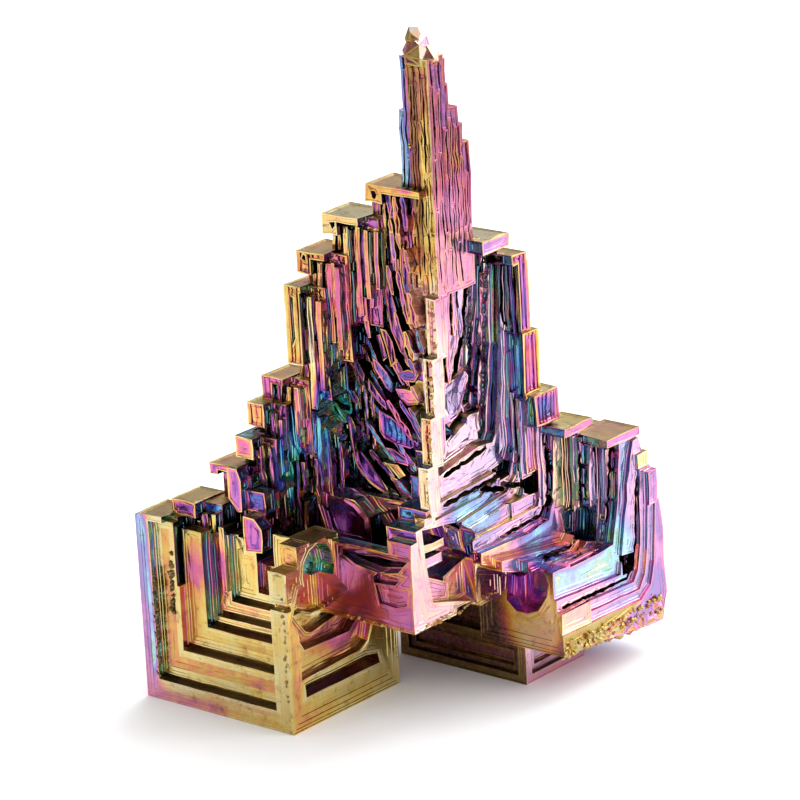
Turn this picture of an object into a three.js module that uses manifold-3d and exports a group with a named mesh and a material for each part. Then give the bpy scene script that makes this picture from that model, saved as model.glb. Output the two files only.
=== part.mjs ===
// Bismuth crystal cluster: hopper crystals grown into one another, millimetres, +Z up.
// Two thin arms of stepped columns meet at an upright ridge and rise to a spire. Between each arm and the
// ridge lies a terraced bowl. A hollow cube at the left and a low foot at the back carry the cluster.
// While it is built, the ridge's lowest corner is the point x = 0, y = 0. The left arm runs towards -X and
// shows its face to -Y, the right arm runs towards +Y and shows its face to +X. At the end the whole
// crystal is moved so that the origin is the middle of its box, at the bottom.

import * as THREE from "three";
import { mergeVertices } from "three/addons/utils/BufferGeometryUtils.js";
import Module from "manifold-3d";

// Driving dimensions
const BASE_UNDERSIDE = 10.5;
const BOWL_FLOOR = 16.5;
const RIM_TOP = 18.6;
const ARM_DEPTH = 4.5;
const COLUMN_RECESS = 1.5;
const CAP_LIP = 0.7;
const LEFT_BOWL_BACK = 9;
const RIGHT_BOWL_BACK = -3.4;
const RIDGE_WIDTH = 1.2;
const WING_UNDERSIDE = 4.4;
const WING_END = 15.1;
const WING_TIP = 33;
const CAVITY_DEPTH = 2.2;
const WING_FACE = 7;
const BLOCK = { left: -30.3, right: -10.2, front: -7.6, back: 9.2, top: 17.3 };
const FOOT = { left: -15.4, right: 1.4, front: 15.7, back: 25.5 };
const SPIRE_SHOULDER = 68.2;
const SMALLEST_STEP = 0.02; // steps finer than this are smoothed away

// The caps of the left arm: left edge, top, front plane, height of the corner lug, its width, length of the
// lip, foot of the column behind the cap and how far the column reaches to the right.
const LEFT_CAPS = [
  { x: -8.1, top: 54.9, y: 5.5, lug: 1.8, width: 2.1, lip: 7.0, foot: 45, reach: 6.6 },
  { x: -13.2, top: 51.4, y: 4.5, lug: 2.1, width: 2.0, lip: 4.8, foot: 40, reach: 6.2 },
  { x: -15.9, top: 47.4, y: 3.5, lug: 2.3, width: 1.8, lip: 3.6, foot: 36, reach: 5.4 },
  { x: -17.0, top: 43.9, y: 2.5, lug: 8.3, width: 2.0, lip: 2.2, foot: 32, reach: 4.2 },
  { x: -20.0, top: 34.1, y: 1.5, lug: 2.8, width: 1.4, lip: 3.0, foot: 26, reach: 5.2 },
  { x: -20.8, top: 31.6, y: 0.0, lug: 2.5, width: 2.3, lip: 2.3, foot: 24, reach: 4.0 },
  { x: -21.3, top: 28.3, y: -1.5, lug: 2.2, width: 2.3, lip: 2.3, foot: 18, reach: 4.2 },
  { x: -23.6, top: 25.5, y: -3.0, lug: 1.2, width: 1.0, lip: 3.8, foot: 13, reach: 4.6 },
  { x: -27.0, top: 21.7, y: -5.5, lug: 1.6, width: 3.3, lip: 3.3, foot: 4, reach: 5.6 },
  { x: -29.9, top: 20.3, y: -7.6, lug: 19, width: 1.4, lip: 3.3, foot: 1, reach: 4.2 },
];

// The caps of the right arm: inner and outer plane, near and far end, top and thickness, then the column
// below the cap with its outer plane, near end, far end and foot.
const RIGHT_CAPS = [
  {
    inner: -3, x: 1.8, near: 11.3, far: 15.6, top: 48.7, lug: 1.3,
    column: { x: -1.2, near: 14.4, far: 15.4, foot: 45 },
  },
  {
    inner: -3, x: 1.2, near: 16.6, far: 19.0, top: 45.8, lug: 1.1,
    column: { x: 1.2, near: 18, far: 18.9, foot: 28 },
  },
  {
    inner: -2, x: 1.5, near: 17.4, far: 20.0, top: 37.5, lug: 7.1,
    column: { x: 1.1, near: 17.6, far: 19.6, foot: 22.4 },
  },
  {
    inner: -1, x: 2.4, near: 17.9, far: 21.7, top: 30.9, lug: 3.4,
    column: { x: 1.5, near: 19.6, far: 21.5, foot: 18.6 },
  },
  {
    inner: 0.6, x: 4.6, near: 19.7, far: 24.3, top: 27.2, lug: 0.9,
    column: { x: 2.1, near: 21, far: 24, foot: 17 },
  },
  {
    inner: 1.8, x: 6.4, near: 24.3, far: 29.9, top: 25.0, lug: 0.9,
    column: { x: 5.9, near: 27.2, far: 29.4, foot: 13 },
  },
  {
    inner: 2.0, x: 6.5, near: 29.2, far: 30.9, top: 22.0, lug: 1.6,
    column: { x: 6.2, near: 29.3, far: 30.6, foot: 8 },
  },
  {
    inner: 2.0, x: 6.9, near: 30.4, far: 31.8, top: 19.8, lug: 3.6,
    column: { x: 6.6, near: 30.5, far: 31.6, foot: 8 },
  },
];

// Upright ribs on the risers of the right arm: edge nearest the core, width, front, bottom and top.
const RIGHT_FLUTES = [
  [-0.5, 0.35, 17.5, 29, 45], [0.2, 0.4, 17.4, 31, 45], [0.85, 0.35, 17.6, 29, 45],
  [-0.2, 0.4, 17.0, 23, 31.2], [0.5, 0.35, 17.1, 22, 30.6], [0.3, 0.35, 19.2, 20.4, 28.6],
  [1.0, 0.35, 19.1, 19.4, 28.4], [0.8, 0.4, 20.5, 18.4, 26.4], [1.6, 0.4, 20.6, 17.6, 26.4],
  [2.5, 0.35, 23, 17, 25.6], [3.4, 0.35, 24.6, 17, 24.4], [4.4, 0.35, 25.4, 16, 24.4],
  [5.3, 0.35, 26.8, 14.4, 24.4],
];

// Steps of the spire: left edge, front, back and top.
const SPIRE_STEPS = [
  { left: -3.4, front: 6.4, back: 8.7, top: SPIRE_SHOULDER },
  { left: -3.4, front: 7.0, back: 9.4, top: 65.2 },
  { left: -4.3, front: 6.8, back: 10.8, top: 62.7 },
  { left: -4.3, front: 8.0, back: 11.3, top: 60.8 },
  { left: -4.6, front: 9.0, back: 12.2, top: 58.8 },
];

// The ridge steps back as it rises: bottom, top and the plane of its left-hand face.
const RIDGE_STEPS = [
  { from: 19.4, to: 20.6, y: 1.2 },
  { from: 20.6, to: 22.0, y: 2.4 },
  { from: 22.0, to: 27.0, y: 3.3 },
  { from: 27.0, to: 32.0, y: 4.1 },
  { from: 32.0, to: 38.0, y: 4.9 },
  { from: 38.0, to: 44.0, y: 5.7 },
  { from: 44.0, to: 66.0, y: 6.4 },
];

// Terraces of the left bowl as [x, z] outlines, each with its front plane. They lie below and to the left of
// a line that comes down upright, turns along a diagonal and runs level into the ridge.
const LEFT_TERRACES = [
  {
    y: 7.8,
    outline: [
      [-16, 34], [-13.8, 31], [-9, 22.5], [-5.4, 20.6], [-2.4, 20.4], [-2.4, 16.5], [-16, 16.5],
    ],
  },
  {
    y: 4.9,
    outline: [
      [-16, 29], [-13.8, 28.4], [-12.8, 27.5], [-12.9, 22.4], [-11.3, 22.5], [-9.5, 21.9],
      [-8.1, 20.3], [-7.3, 19.1], [-7.3, 16.5], [-16, 16.5],
    ],
  },
  {
    y: 3.4, depth: 4,
    outline: [
      [-16.6, 31.8], [-16, 30.7], [-14.4, 30.6], [-14, 29.8], [-13.1, 28.9], [-12.8, 26.3],
      [-12.7, 21.9], [-10, 21.9], [-8, 20.4], [-7.9, 16.5], [-13.5, 16.5], [-15.2, 21], [-15.4, 27],
    ],
  },
  {
    y: 2.6,
    outline: [
      [-18.6, 27.1], [-17.2, 27], [-16.4, 25.8], [-16.6, 20.9], [-17.6, 19], [-17.6, 14], [-18.6, 14],
    ],
  },
  {
    y: 1.5,
    outline: [
      [-19.8, 30], [-19.3, 29.4], [-18.9, 28.4], [-17.3, 27.9], [-17.2, 26.9], [-17.3, 14],
      [-19.8, 14],
    ],
  },
  {
    y: 0.3, depth: 2.4,
    outline: [
      [-20.4, 28.6], [-18.9, 28.4], [-18.3, 25.4], [-18.5, 23.6], [-16.6, 23.7], [-16.4, 22.8],
      [-18.6, 22.3], [-20.4, 22.3],
    ],
  },
  {
    y: -2.6, depth: 1.6,
    outline: [
      [-19.4, 23.1], [-16.8, 23.2], [-16.7, 20.9], [-17, 20.1], [-18.1, 21], [-19.4, 21],
    ],
  },
  {
    y: -3.4, depth: 1.6,
    outline: [
      [-21, 25.4], [-19.7, 25.4], [-19.2, 24.2], [-19.2, 21], [-19.8, 20.9], [-21, 22.1],
    ],
  },
  {
    y: -4, depth: 1.6,
    outline: [
      [-18.6, 20.9], [-17.1, 20.8], [-16.2, 19.8], [-16.3, 17.2], [-18.6, 17],
    ],
  },
];

// Terraces of the right bowl, each with its outer plane and its inner edge as [y, z] points that come down
// upright, turn, and run level towards the ridge or, low down, towards the end of the wing.
const RIGHT_TERRACES = [
  {
    x: -2.7,
    edge: [
      [15.9, 47.6], [15.4, 41], [14.8, 39.1], [13.5, 36.8], [13.3, 34.4], [10.9, 33.7], [8, 33],
    ],
  },
  {
    x: -1.8,
    edge: [
      [15.9, 47.3], [15.3, 39.1], [14.8, 36.6], [13.9, 31.8], [14, 29.8], [12.5, 29.8], [8.7, 28.2],
      [6, 27.6],
    ],
  },
  {
    x: -0.8,
    edge: [
      [16.9, 46.7], [16.4, 36.3], [15.7, 31.5], [15.1, 27.3], [14.7, 26.4], [12.3, 26.7], [6.1, 25.4],
      [5, 25.2],
    ],
  },
  {
    x: -0.3,
    edge: [
      [17.6, 38], [16.9, 28.3], [17.1, 24.9], [15.8, 23.4], [13.4, 23.3], [5, 22.8], [3, 22.6],
    ],
  },
  {
    x: 0,
    edge: [
      [17.8, 38], [17.6, 28.1], [16.7, 23.8], [13.6, 22.6], [11.3, 21.7], [3.5, 21.3], [1, 21.1],
    ],
  },
  { x: 0.4, edge: [[17.9, 30], [17.6, 26], [16.7, 22.5], [15.1, 21.1], [7.7, 20.2]] },
  { x: 0.8, edge: [[18.4, 30], [18.3, 25.9], [17.8, 21.9], [17, 20.1], [8.1, 19.2]] },
  { x: 1.3, edge: [[19.4, 30.5], [19.9, 25], [19.5, 20.2], [19.1, 18.6], [8.1, 18.2]] },
  { x: 2.1, edge: [[20.9, 25.3], [20.4, 19], [19.6, 17.1], [16.4, 16.6], [8.5, 16.9]] },
  { x: 3.2, edge: [[23.4, 24.8], [23.2, 18.3], [22.8, 15.2], [21.6, 14.1], [10.4, 15.7]] },
  { x: 4.2, edge: [[24.1, 24.2], [23.9, 18.3], [23.3, 14.1], [21.9, 13.2], [13.3, 14.8]] },
  { x: 5.0, edge: [[25.9, 23.3], [25.7, 17.9], [24.7, 13.1], [20.8, 13.3], [15.3, 13.7]] },
  { x: 5.9, edge: [[27, 24.6], [26.4, 17.8], [25.3, 13.3], [23, 13.1], [WING_END, 13.1]] },
  { x: 6.2, edge: [[28.8, 23.7], [27.4, 17.6], [26.4, 12.4], [26, 9.8], [WING_END, 10.4]] },
  { x: 6.5, edge: [[29.5, 20.3], [29.1, 12.2], [28.6, 9.6], [27.8, 8.5], [WING_END, 9.1]] },
  { x: 6.7, edge: [[30.6, 18.9], [30, 11.4], [29.5, 8.9], [28.5, 7.5], [WING_END, 7.9]] },
  { x: 6.9, edge: [[31.4, 16.5], [30.9, 10], [30.2, 7.5], [28.4, 6.4], [WING_END, 6.7]] },
];

// The outer edge of the right arm and its wing as [y, z] points from the top to the wing's end.
const RIGHT_EDGE = [
  [15.6, 48.6], [15.6, 46.6], [17, 46.6], [17, 45.6], [18.9, 45.6], [18.9, 37.4], [20, 37.4],
  [20, 30.8], [21.7, 30.8], [21.7, 27], [24.3, 27], [24.3, 24.8], [29.6, 24.8], [30.4, 22],
  [31.4, 20.2], [32.1, 16.3], [32.7, 12.8], [32.6, 9.5], [WING_TIP, 6], [32.1, 3], [27.9, 3.3],
  [21, 4.2], [WING_END, WING_UNDERSIDE],
];

// Lumps of metal that set late along the lower rim of the wing: place, radius and height.
const RIM_LUMPS = [
  [6.3, 16.2, 4.6, 0.9, 0.5], [6.5, 17.8, 4.9, 0.8, 0.6], [6.2, 19.7, 4.3, 1, 0.6],
  [6.4, 21.6, 4.5, 0.7, 0.9], [6.2, 23.1, 4, 1, 0.6], [6.5, 25, 4.3, 0.7, 0.7],
  [6.2, 26.6, 3.7, 1, 0.7], [6.4, 28.4, 3.9, 0.8, 0.9], [6.1, 30, 3.5, 1.1, 0.7],
  [6.3, 31.6, 3.8, 0.9, 0.9], [6, 32.4, 5.4, 0.9, 1.2], [6.2, 32.6, 7.8, 0.6, 1.2],
  [6.4, 30.9, 4.9, 0.7, 0.6],
];

// Deep pits between the terraces of the wing: bottom plane and [y, z] outline.
const RIGHT_PITS = [
  { x: 3.4, outline: [[26.1, 11.8], [28.4, 11.6], [28.2, 9.6], [26.4, 9.6]] },
  { x: 1.6, outline: [[21.8, 17.6], [25, 17.6], [24.6, 13.6], [22.4, 14.2]] },
  { x: -0.8, outline: [[17.2, 22.6], [19.6, 22.8], [19.2, 19.4], [17.4, 20.4]] },
  { x: -1.6, outline: [[14.2, 23.6], [16.8, 24.2], [16.2, 22.6], [14.6, 22.4]] },
];

// Blades that stand out of the left bowl: front plane and [x, z] outline from the top left corner.
const LEFT_BLADES = [
  {
    y: 6.4,
    outline: [
      [-12.9, 29.6], [-12.4, 29.4], [-11.8, 28.6], [-11.7, 27.1], [-11.9, 26.2], [-11.2, 26],
      [-9.5, 24.1], [-8, 22.5], [-7.9, 21.7], [-10.1, 22.7], [-11.9, 24.1], [-12.2, 24.7],
    ],
  },
  {
    y: 6.6,
    outline: [
      [-8.8, 30.8], [-7.2, 30.3], [-3.6, 27.8], [-3.2, 27.2], [-8.3, 27.8], [-8.8, 28.6],
    ],
  },
  { y: 6.8, outline: [[-8.7, 26.8], [-7.3, 26.9], [-5.6, 26], [-5.5, 25.3], [-7.9, 25.7]] },
  {
    y: 6.8,
    outline: [
      [-8.8, 25.2], [-6.8, 25.2], [-5.1, 23.5], [-3.9, 21.9], [-5.3, 22.1], [-6.9, 24], [-8.2, 24.7],
    ],
  },
  { y: 6.8, outline: [[-5.9, 26.8], [-4.9, 26.5], [-3.8, 25.2], [-3.8, 24.2], [-5, 25]] },
  { y: 6.6, outline: [[-7.8, 24], [-6.9, 23.8], [-5.3, 22.2], [-5, 21.6], [-6.3, 21.8]] },
  {
    y: 6.8,
    outline: [
      [-9.4, 36.3], [-8.6, 35.9], [-6.9, 33.9], [-7.1, 32.9], [-7.9, 33.3], [-9.1, 35.1],
    ],
  },
  {
    y: 6.8,
    outline: [
      [-10.3, 33.9], [-9.6, 33.4], [-8.1, 31.7], [-8, 30.9], [-9.2, 31.7], [-10.3, 32.7],
    ],
  },
  { y: 6.8, outline: [[-12.2, 35.9], [-11.5, 35.6], [-10.7, 34.3], [-10.9, 33.4], [-11.7, 34.5]] },
  { y: 6.8, outline: [[-10.7, 37.2], [-10.1, 36.8], [-9.7, 35.7], [-10.3, 35.8]] },
  {
    y: 6.4,
    outline: [
      [-7.3, 51.5], [-6.5, 51.6], [-6.7, 46.8], [-6.2, 43.6], [-5.3, 40.7], [-5, 38.4], [-4.3, 36.6],
      [-5.4, 37.6], [-6.4, 39.7], [-6.8, 42.2], [-7.3, 44.8],
    ],
  },
  {
    y: 6.2,
    outline: [
      [-4.6, 47.6], [-3.8, 47.2], [-3.7, 44.9], [-3.1, 42.8], [-3.1, 40.8], [-2.1, 38.2], [-2.7, 37.3],
      [-3.5, 38.6], [-3.8, 40.4], [-4.6, 41.9], [-4.7, 44.7],
    ],
  },
  {
    y: 6.4,
    outline: [
      [-2.9, 48.9], [-2.4, 48.3], [-2.1, 46.6], [-1.6, 44.8], [-1.9, 44.2], [-2.6, 45.5], [-2.7, 47.3],
    ],
  },
  {
    y: 5.6,
    outline: [
      [-12.6, 44.5], [-11.9, 43.7], [-11.6, 42.3], [-11.5, 39], [-12.1, 39.7], [-12.3, 42.2],
    ],
  },
  {
    y: 5.8,
    outline: [
      [-10.2, 48.1], [-9.7, 48.1], [-9.4, 44.9], [-8.9, 41.4], [-8.6, 38.7], [-9, 38.6], [-9.5, 41.3],
      [-9.9, 44.8],
    ],
  },
  {
    y: 6.4,
    outline: [
      [-7.9, 39.7], [-7.1, 39.6], [-6.4, 38.5], [-6, 36.4], [-6.7, 35.9], [-7.2, 37.5],
    ],
  },
  { y: 6.2, outline: [[-5.9, 35.3], [-4.3, 35.9], [-3, 35.7], [-3.6, 34.8], [-5, 34.5]] },
  { y: 6.0, outline: [[-6, 33.7], [-3.4, 33.9], [-3.1, 32.6], [-4.5, 32.2], [-5.5, 32.9]] },
  { y: 6.4, outline: [[-5.6, 31.4], [-4.6, 31.6], [-3.3, 30.6], [-4.2, 30.2]] },
  { y: 6.4, outline: [[-5.6, 29.5], [-4.7, 29.8], [-3.3, 28.9], [-3.3, 28.4]] },
  { y: 6.6, outline: [[-9.2, 21], [-7.5, 21.1], [-6.9, 20.2], [-8.1, 20.3]] },
  { y: 6.6, outline: [[-7, 21.5], [-6.2, 21.5], [-5.1, 20.4], [-5.7, 20.3]] },
  {
    y: 6.3,
    outline: [
      [-2.9, 58.7], [-2.1, 58.8], [-1.9, 55.3], [-1.4, 51.3], [-0.7, 49.9], [-1.1, 47.5], [-1.7, 49.5],
      [-2.3, 52.2],
    ],
  },
  {
    y: 6.3,
    outline: [
      [-1.8, 61.7], [-1.2, 61.8], [-0.3, 58.3], [-0.2, 56.9], [-1, 56.2], [-1.2, 58.9],
    ],
  },
  {
    y: 6.8,
    outline: [
      [-5.2, 52], [-4.5, 52.1], [-4.3, 49.3], [-4.1, 47.7], [-4.8, 47.6], [-5.1, 49.7],
    ],
  },
  { y: 6.6, outline: [[-4.1, 52.7], [-3.5, 52.1], [-3.1, 50], [-3.1, 48.3], [-3.7, 48.4], [-4, 50.4]] },
];
const BLADE_ROOT = 9.6;

// Narrow strips deeper in the left bowl: front plane, top left corner, height, width, and how far the foot
// of the strip leans towards the ridge.
const BOWL_STRIPS = [
  [7.4, -11.6, 38.6, 4.8, 0.6, 2.2], [7.2, -10.2, 41.2, 5.2, 0.5, 1.9], [7.6, -8.6, 35.2, 3.6, 0.5, 2.3],
  [7.3, -8.2, 44.8, 5.6, 0.5, 1.4], [7.5, -6.2, 42.6, 4.3, 0.5, 1.5], [7.2, -5.8, 49.6, 5.4, 0.5, 1.2],
  [7.5, -4.2, 40.6, 3.8, 0.5, 1.4], [7.4, -3.4, 46, 5, 0.5, 1], [7.2, -2, 51.6, 5, 0.5, 0.8],
  [7.6, -12.4, 32.6, 3.4, 0.6, 2.6], [7.4, -10.8, 31.2, 3, 0.5, 2.8], [7.6, -9.2, 29.4, 2.6, 0.6, 2.9],
  [7.5, -6.8, 32.6, 2.6, 0.5, 2.6], [7.4, -7, 28.9, 2.2, 0.5, 2.8], [7.6, -10.4, 26.4, 2.2, 0.6, 2.9],
  [7.5, -8.6, 24, 1.8, 0.5, 2.7], [7.4, -6.4, 24.9, 1.8, 0.5, 2.4], [7.6, -4.8, 37.6, 3.2, 0.4, 1.7],
  [7.4, -13.4, 35.8, 3.8, 0.5, 1.8], [7.6, -4.4, 30.2, 1.8, 0.4, 2.2],
];

// Upright ribs on the recessed columns of the left arm: left edge, width, front, bottom and top.
const LEFT_FLUTES = [
  [-5.8, 0.5, 6.4, 46, 53.6], [-4.6, 0.6, 6.2, 47, 53.6], [-3.2, 0.5, 6.5, 48, 53.6],
  [-11.0, 0.6, 5.2, 40, 50.2], [-9.6, 0.5, 5.4, 41, 50.2], [-8.4, 0.5, 5.3, 43, 50],
  [-7.4, 0.5, 5.6, 44, 50], [-13.8, 0.6, 4.2, 37, 46.2], [-12.7, 0.5, 4.4, 38, 46.2],
  [-11.7, 0.6, 4.3, 37.4, 46], [-14.7, 0.7, 3.2, 31, 42.8], [-13.6, 0.6, 3.4, 33, 42.4],
  [-18.4, 0.6, 2.2, 29.6, 33.2], [-17.3, 0.5, 2.4, 29.2, 33], [-16.3, 0.6, 2.3, 28, 33.2],
  [-18.3, 0.5, 0.8, 26, 30.6], [-18.8, 0.6, -0.7, 20, 27.4], [-21.4, 0.6, -2.2, 18, 24.6],
  [-20.4, 0.5, -2.0, 17, 24.4], [-19.4, 0.6, -2.2, 19, 24.6], [-23.4, 0.7, -4.8, 11.5, 20.6],
  [-22.3, 0.6, -4.7, 12, 20.6], [-21.3, 0.6, -4.8, 12.4, 19.4],
];

// Nested frames on the left-hand face of the block: left edge, sill, plane, top.
const BLOCK_FRAMES = [
  { x: BLOCK.left, sill: 0, y: BLOCK.front, top: 20.1 },
  { x: -28.9, sill: 2.2, y: -6.9, top: 19.7 },
  { x: -25.4, sill: 5.8, y: -6.0, top: 18.9 },
  { x: -22.7, sill: 8.6, y: -5.1, top: 18.6 },
  { x: -22.0, sill: 9.7, y: -4.5, top: 18.4 },
  { x: -20.4, sill: 11.4, y: -3.9, top: 18 },
];
const FRAME_GROOVE = 0.55;
const FRAME_END = -12.4;

// Recesses in the right-hand face of the block as [y, z] outlines, each with the plane that it is cut to.
const BLOCK_RECESSES = [
  { x: -10.8, outline: [[-6, 14], [-5.9, 5.4], [3, 5.7], [4.3, 6.4], [4.9, 8.2], [4.9, 12], [0, 14]] },
  { x: -12.4, outline: [[-5.5, 4.8], [-5.4, 3.4], [6.2, 3.3], [5.9, 4.4], [4, 4.8]] },
  {
    x: -11.6,
    outline: [
      [-7, 12], [-4.6, 8.1], [2.3, 7.9], [3.4, 8.8], [3.4, 12], [0, 15], [-5.6, 15],
    ],
  },
  {
    x: -12.4,
    outline: [
      [-6.4, 13.5], [-3.4, 9.6], [-2.5, 9.2], [1.6, 9.9], [1.6, 12], [0, 15], [-5.4, 15],
    ],
  },
  { x: -13, outline: [[-5.8, 14.1], [-3.4, 11.7], [-1.4, 10.8], [0.1, 10.8], [0, 15], [-5.2, 15]] },
];
const BLOCK_PIT = { y: -2.4, z: 16.1, halfWidth: 2.4, halfHeight: 2.9, bottom: -12, sides: 12 };
const BLOCK_PIT_HEART = { y: -2.4, z: 16.3, halfWidth: 1.2, halfHeight: 2.1, bottom: -15, sides: 10 };

// Terraces of the hidden back, a stepped pyramid: left edge, back and top, and the panel sunk in each riser.
const BACK_STEPS = [
  { left: -5.4, back: 13.6, top: 54 },
  { left: -7.6, back: 14.8, top: 49.5 },
  { left: -9.8, back: 16.0, top: 45 },
  { left: -12.0, back: 17.2, top: 41 },
  { left: -13.8, back: 18.4, top: 37.5 },
  { left: -15.6, back: 20.0, top: 34 },
  { left: -17.4, back: 21.8, top: 30 },
  { left: -19.4, back: 23.6, top: 26 },
  { left: -22.0, back: 25.6, top: 22.5 },
  { left: -25.0, back: 27.6, top: 19 },
  { left: -28.0, back: 29.4, top: 15.5 },
];
const BACK_PANEL_DEPTH = 0.7;
const BACK_PANEL_BORDER = 0.9;

const wasm = await Module();
wasm.setup();

// Turns a three.js geometry into a solid.
function solid(geometry) {
  geometry.deleteAttribute("normal");
  geometry.deleteAttribute("uv");
  const merged = mergeVertices(geometry, 1e-5);
  return new wasm.Manifold(
    new wasm.Mesh({
      numProp: 3,
      vertProperties: merged.attributes.position.array,
      triVerts: new Uint32Array(merged.index.array),
    }),
  );
}

function block(x0, x1, y0, y1, z0, z1) {
  const geometry = new THREE.BoxGeometry(x1 - x0, y1 - y0, z1 - z0);
  geometry.translate((x0 + x1) / 2, (y0 + y1) / 2, (z0 + z1) / 2);
  return solid(geometry);
}

function extrude(outline, depth, matrix) {
  const points = outline.map(([a, b]) => new THREE.Vector2(a, b));
  const geometry = new THREE.ExtrudeGeometry(new THREE.Shape(points), { depth, bevelEnabled: false });
  geometry.applyMatrix4(matrix);
  return solid(geometry);
}

// A plate whose outline is given in x and z, from y0 to y1.
function leftPlate(outline, y0, y1) {
  const turn = new THREE.Matrix4().makeRotationX(Math.PI / 2).setPosition(0, y1, 0);
  return extrude(outline, y1 - y0, turn);
}

// A plate whose outline is given in y and z, from x0 to x1.
function rightPlate(outline, x0, x1) {
  const turn = new THREE.Matrix4().makeBasis(
    new THREE.Vector3(0, 1, 0),
    new THREE.Vector3(0, 0, 1),
    new THREE.Vector3(1, 0, 0),
  );
  return extrude(outline, x1 - x0, turn.setPosition(x0, 0, 0));
}

// A plate whose outline is given in x and y, from z0 to z1.
function levelPlate(outline, z0, z1) {
  return extrude(outline, z1 - z0, new THREE.Matrix4().makeTranslation(0, 0, z0));
}

// An irregular lump of late-grown metal.
function lump(x, y, z, radius, height) {
  const geometry = new THREE.IcosahedronGeometry(radius, 0);
  geometry.scale(1, 1, height / radius);
  geometry.rotateZ(x + y);
  geometry.translate(x, y, z);
  return solid(geometry);
}

const join = (solids) => solids.reduce((all, next) => all.add(next));
const cut = (body, solids) => solids.reduce((rest, next) => rest.subtract(next), body);

// The left arm: under each cap a recessed column, over it a lip and at the corner a lug.
function leftArm() {
  const parts = [];
  for (const cap of LEFT_CAPS) {
    const back = cap.y + ARM_DEPTH;
    parts.push(block(cap.x, cap.x + cap.lip, cap.y, back, cap.top - CAP_LIP, cap.top));
    parts.push(block(cap.x, cap.x + cap.width, cap.y, back, cap.top - cap.lug, cap.top - CAP_LIP / 2));
    const recessed = cap.y + COLUMN_RECESS;
    parts.push(block(cap.x + 0.3, cap.x + cap.reach, recessed, back - 0.2, cap.foot, cap.top - 0.2));
  }
  for (const [x, width, front, bottom, top] of LEFT_FLUTES) {
    parts.push(block(x, x + width, front, front + 2.4, bottom, top));
  }
  return parts;
}

// The left bowl: terraces that step forward towards the left and the bottom, and blades between them.
function leftBowl() {
  const parts = LEFT_TERRACES.map(({ y, depth = 6, outline }) =>
    leftPlate(outline, y, Math.min(y + depth, BLADE_ROOT)),
  );
  for (const blade of LEFT_BLADES) {
    parts.push(leftPlate(blade.outline, blade.y, BLADE_ROOT));
  }
  for (const [y, x, top, height, width, lean] of BOWL_STRIPS) {
    const foot = top - height;
    const outline = [[x, top], [x + lean, foot], [x + lean + width, foot + 0.5], [x + width, top + 0.3]];
    parts.push(leftPlate(outline, y, BLADE_ROOT));
  }
  return parts;
}

// The ridge between the bowls, thin at the front and wide where it joins the core.
function ridge() {
  return RIDGE_STEPS.map(({ from, to, y }) => {
    const outline = [
      [0, y],
      [0, y + 1.6],
      [RIGHT_BOWL_BACK - 0.1, Math.max(y + 5, LEFT_BOWL_BACK + 1)],
      [-RIDGE_WIDTH - 0.9 * (LEFT_BOWL_BACK + 0.3 - y), LEFT_BOWL_BACK + 0.3],
      [-RIDGE_WIDTH, y],
    ];
    return levelPlate(outline, from - 0.3, to);
  });
}

function spire() {
  const parts = SPIRE_STEPS.map((step) => block(step.left, 0, step.front, step.back, 44, step.top));
  parts.push(block(-2.2, 0, 6.4, 9, 44, SPIRE_SHOULDER - 0.4));
  parts.push(block(-4.2, -2.6, 6.9, 8.8, 50, 61.5));
  parts.push(block(-4.4, 0, 8.2, 12.2, 44, 57.5));
  parts.push(lump(-1.9, 7.4, 68.6, 1.7, 1.9));
  parts.push(lump(-0.9, 7.8, 68.2, 1.2, 1.3));
  parts.push(lump(-2.2, 7.2, 69.9, 0.9, 1.5));
  return parts;
}

// The right arm and its bowl.
function rightArm() {
  const parts = RIGHT_CAPS.map((cap) => {
    const { x, near, far, foot } = cap.column;
    return join([
      block(cap.inner, cap.x, cap.near, cap.far, cap.top - cap.lug, cap.top),
      block(RIGHT_BOWL_BACK - 0.2, x, near, far, foot, cap.top - 0.2),
    ]);
  });
  const terraces = RIGHT_TERRACES.map(({ x, edge }) => {
    const [endY, endZ] = edge[edge.length - 1];
    const hangs = endY < WING_END;
    const foot = x > 0 ? endZ - 1.2 : BASE_UNDERSIDE + 4;
    const lower = hangs ? [[endY, foot], [WING_END, Math.min(foot, 13)]] : [];
    const last = [Math.max(endY, WING_END), 2];
    const outline = [...edge, ...lower, last, [40, 2], [40, edge[0][1]]];
    return rightPlate(outline, RIGHT_BOWL_BACK - 0.4, x);
  });
  const underBowl = [[WING_END, 12.8], [9.8, 13.2], [-1, 13.2]];
  const limit = rightPlate([[-1, 48.6], ...RIGHT_EDGE, ...underBowl], -5, 9);
  const pits = RIGHT_PITS.map((pit) => rightPlate(pit.outline, pit.x, 9));
  const bowl = cut(join(terraces).intersect(limit), pits);
  for (const [x, width, front, bottom, top] of RIGHT_FLUTES) {
    parts.push(block(x, x + width, front, front + 1.6, bottom, top));
  }
  for (const [x, y, z, radius, height] of RIM_LUMPS) {
    parts.push(lump(x, y, z, radius, height));
  }
  return [bowl, ...parts];
}

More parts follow.
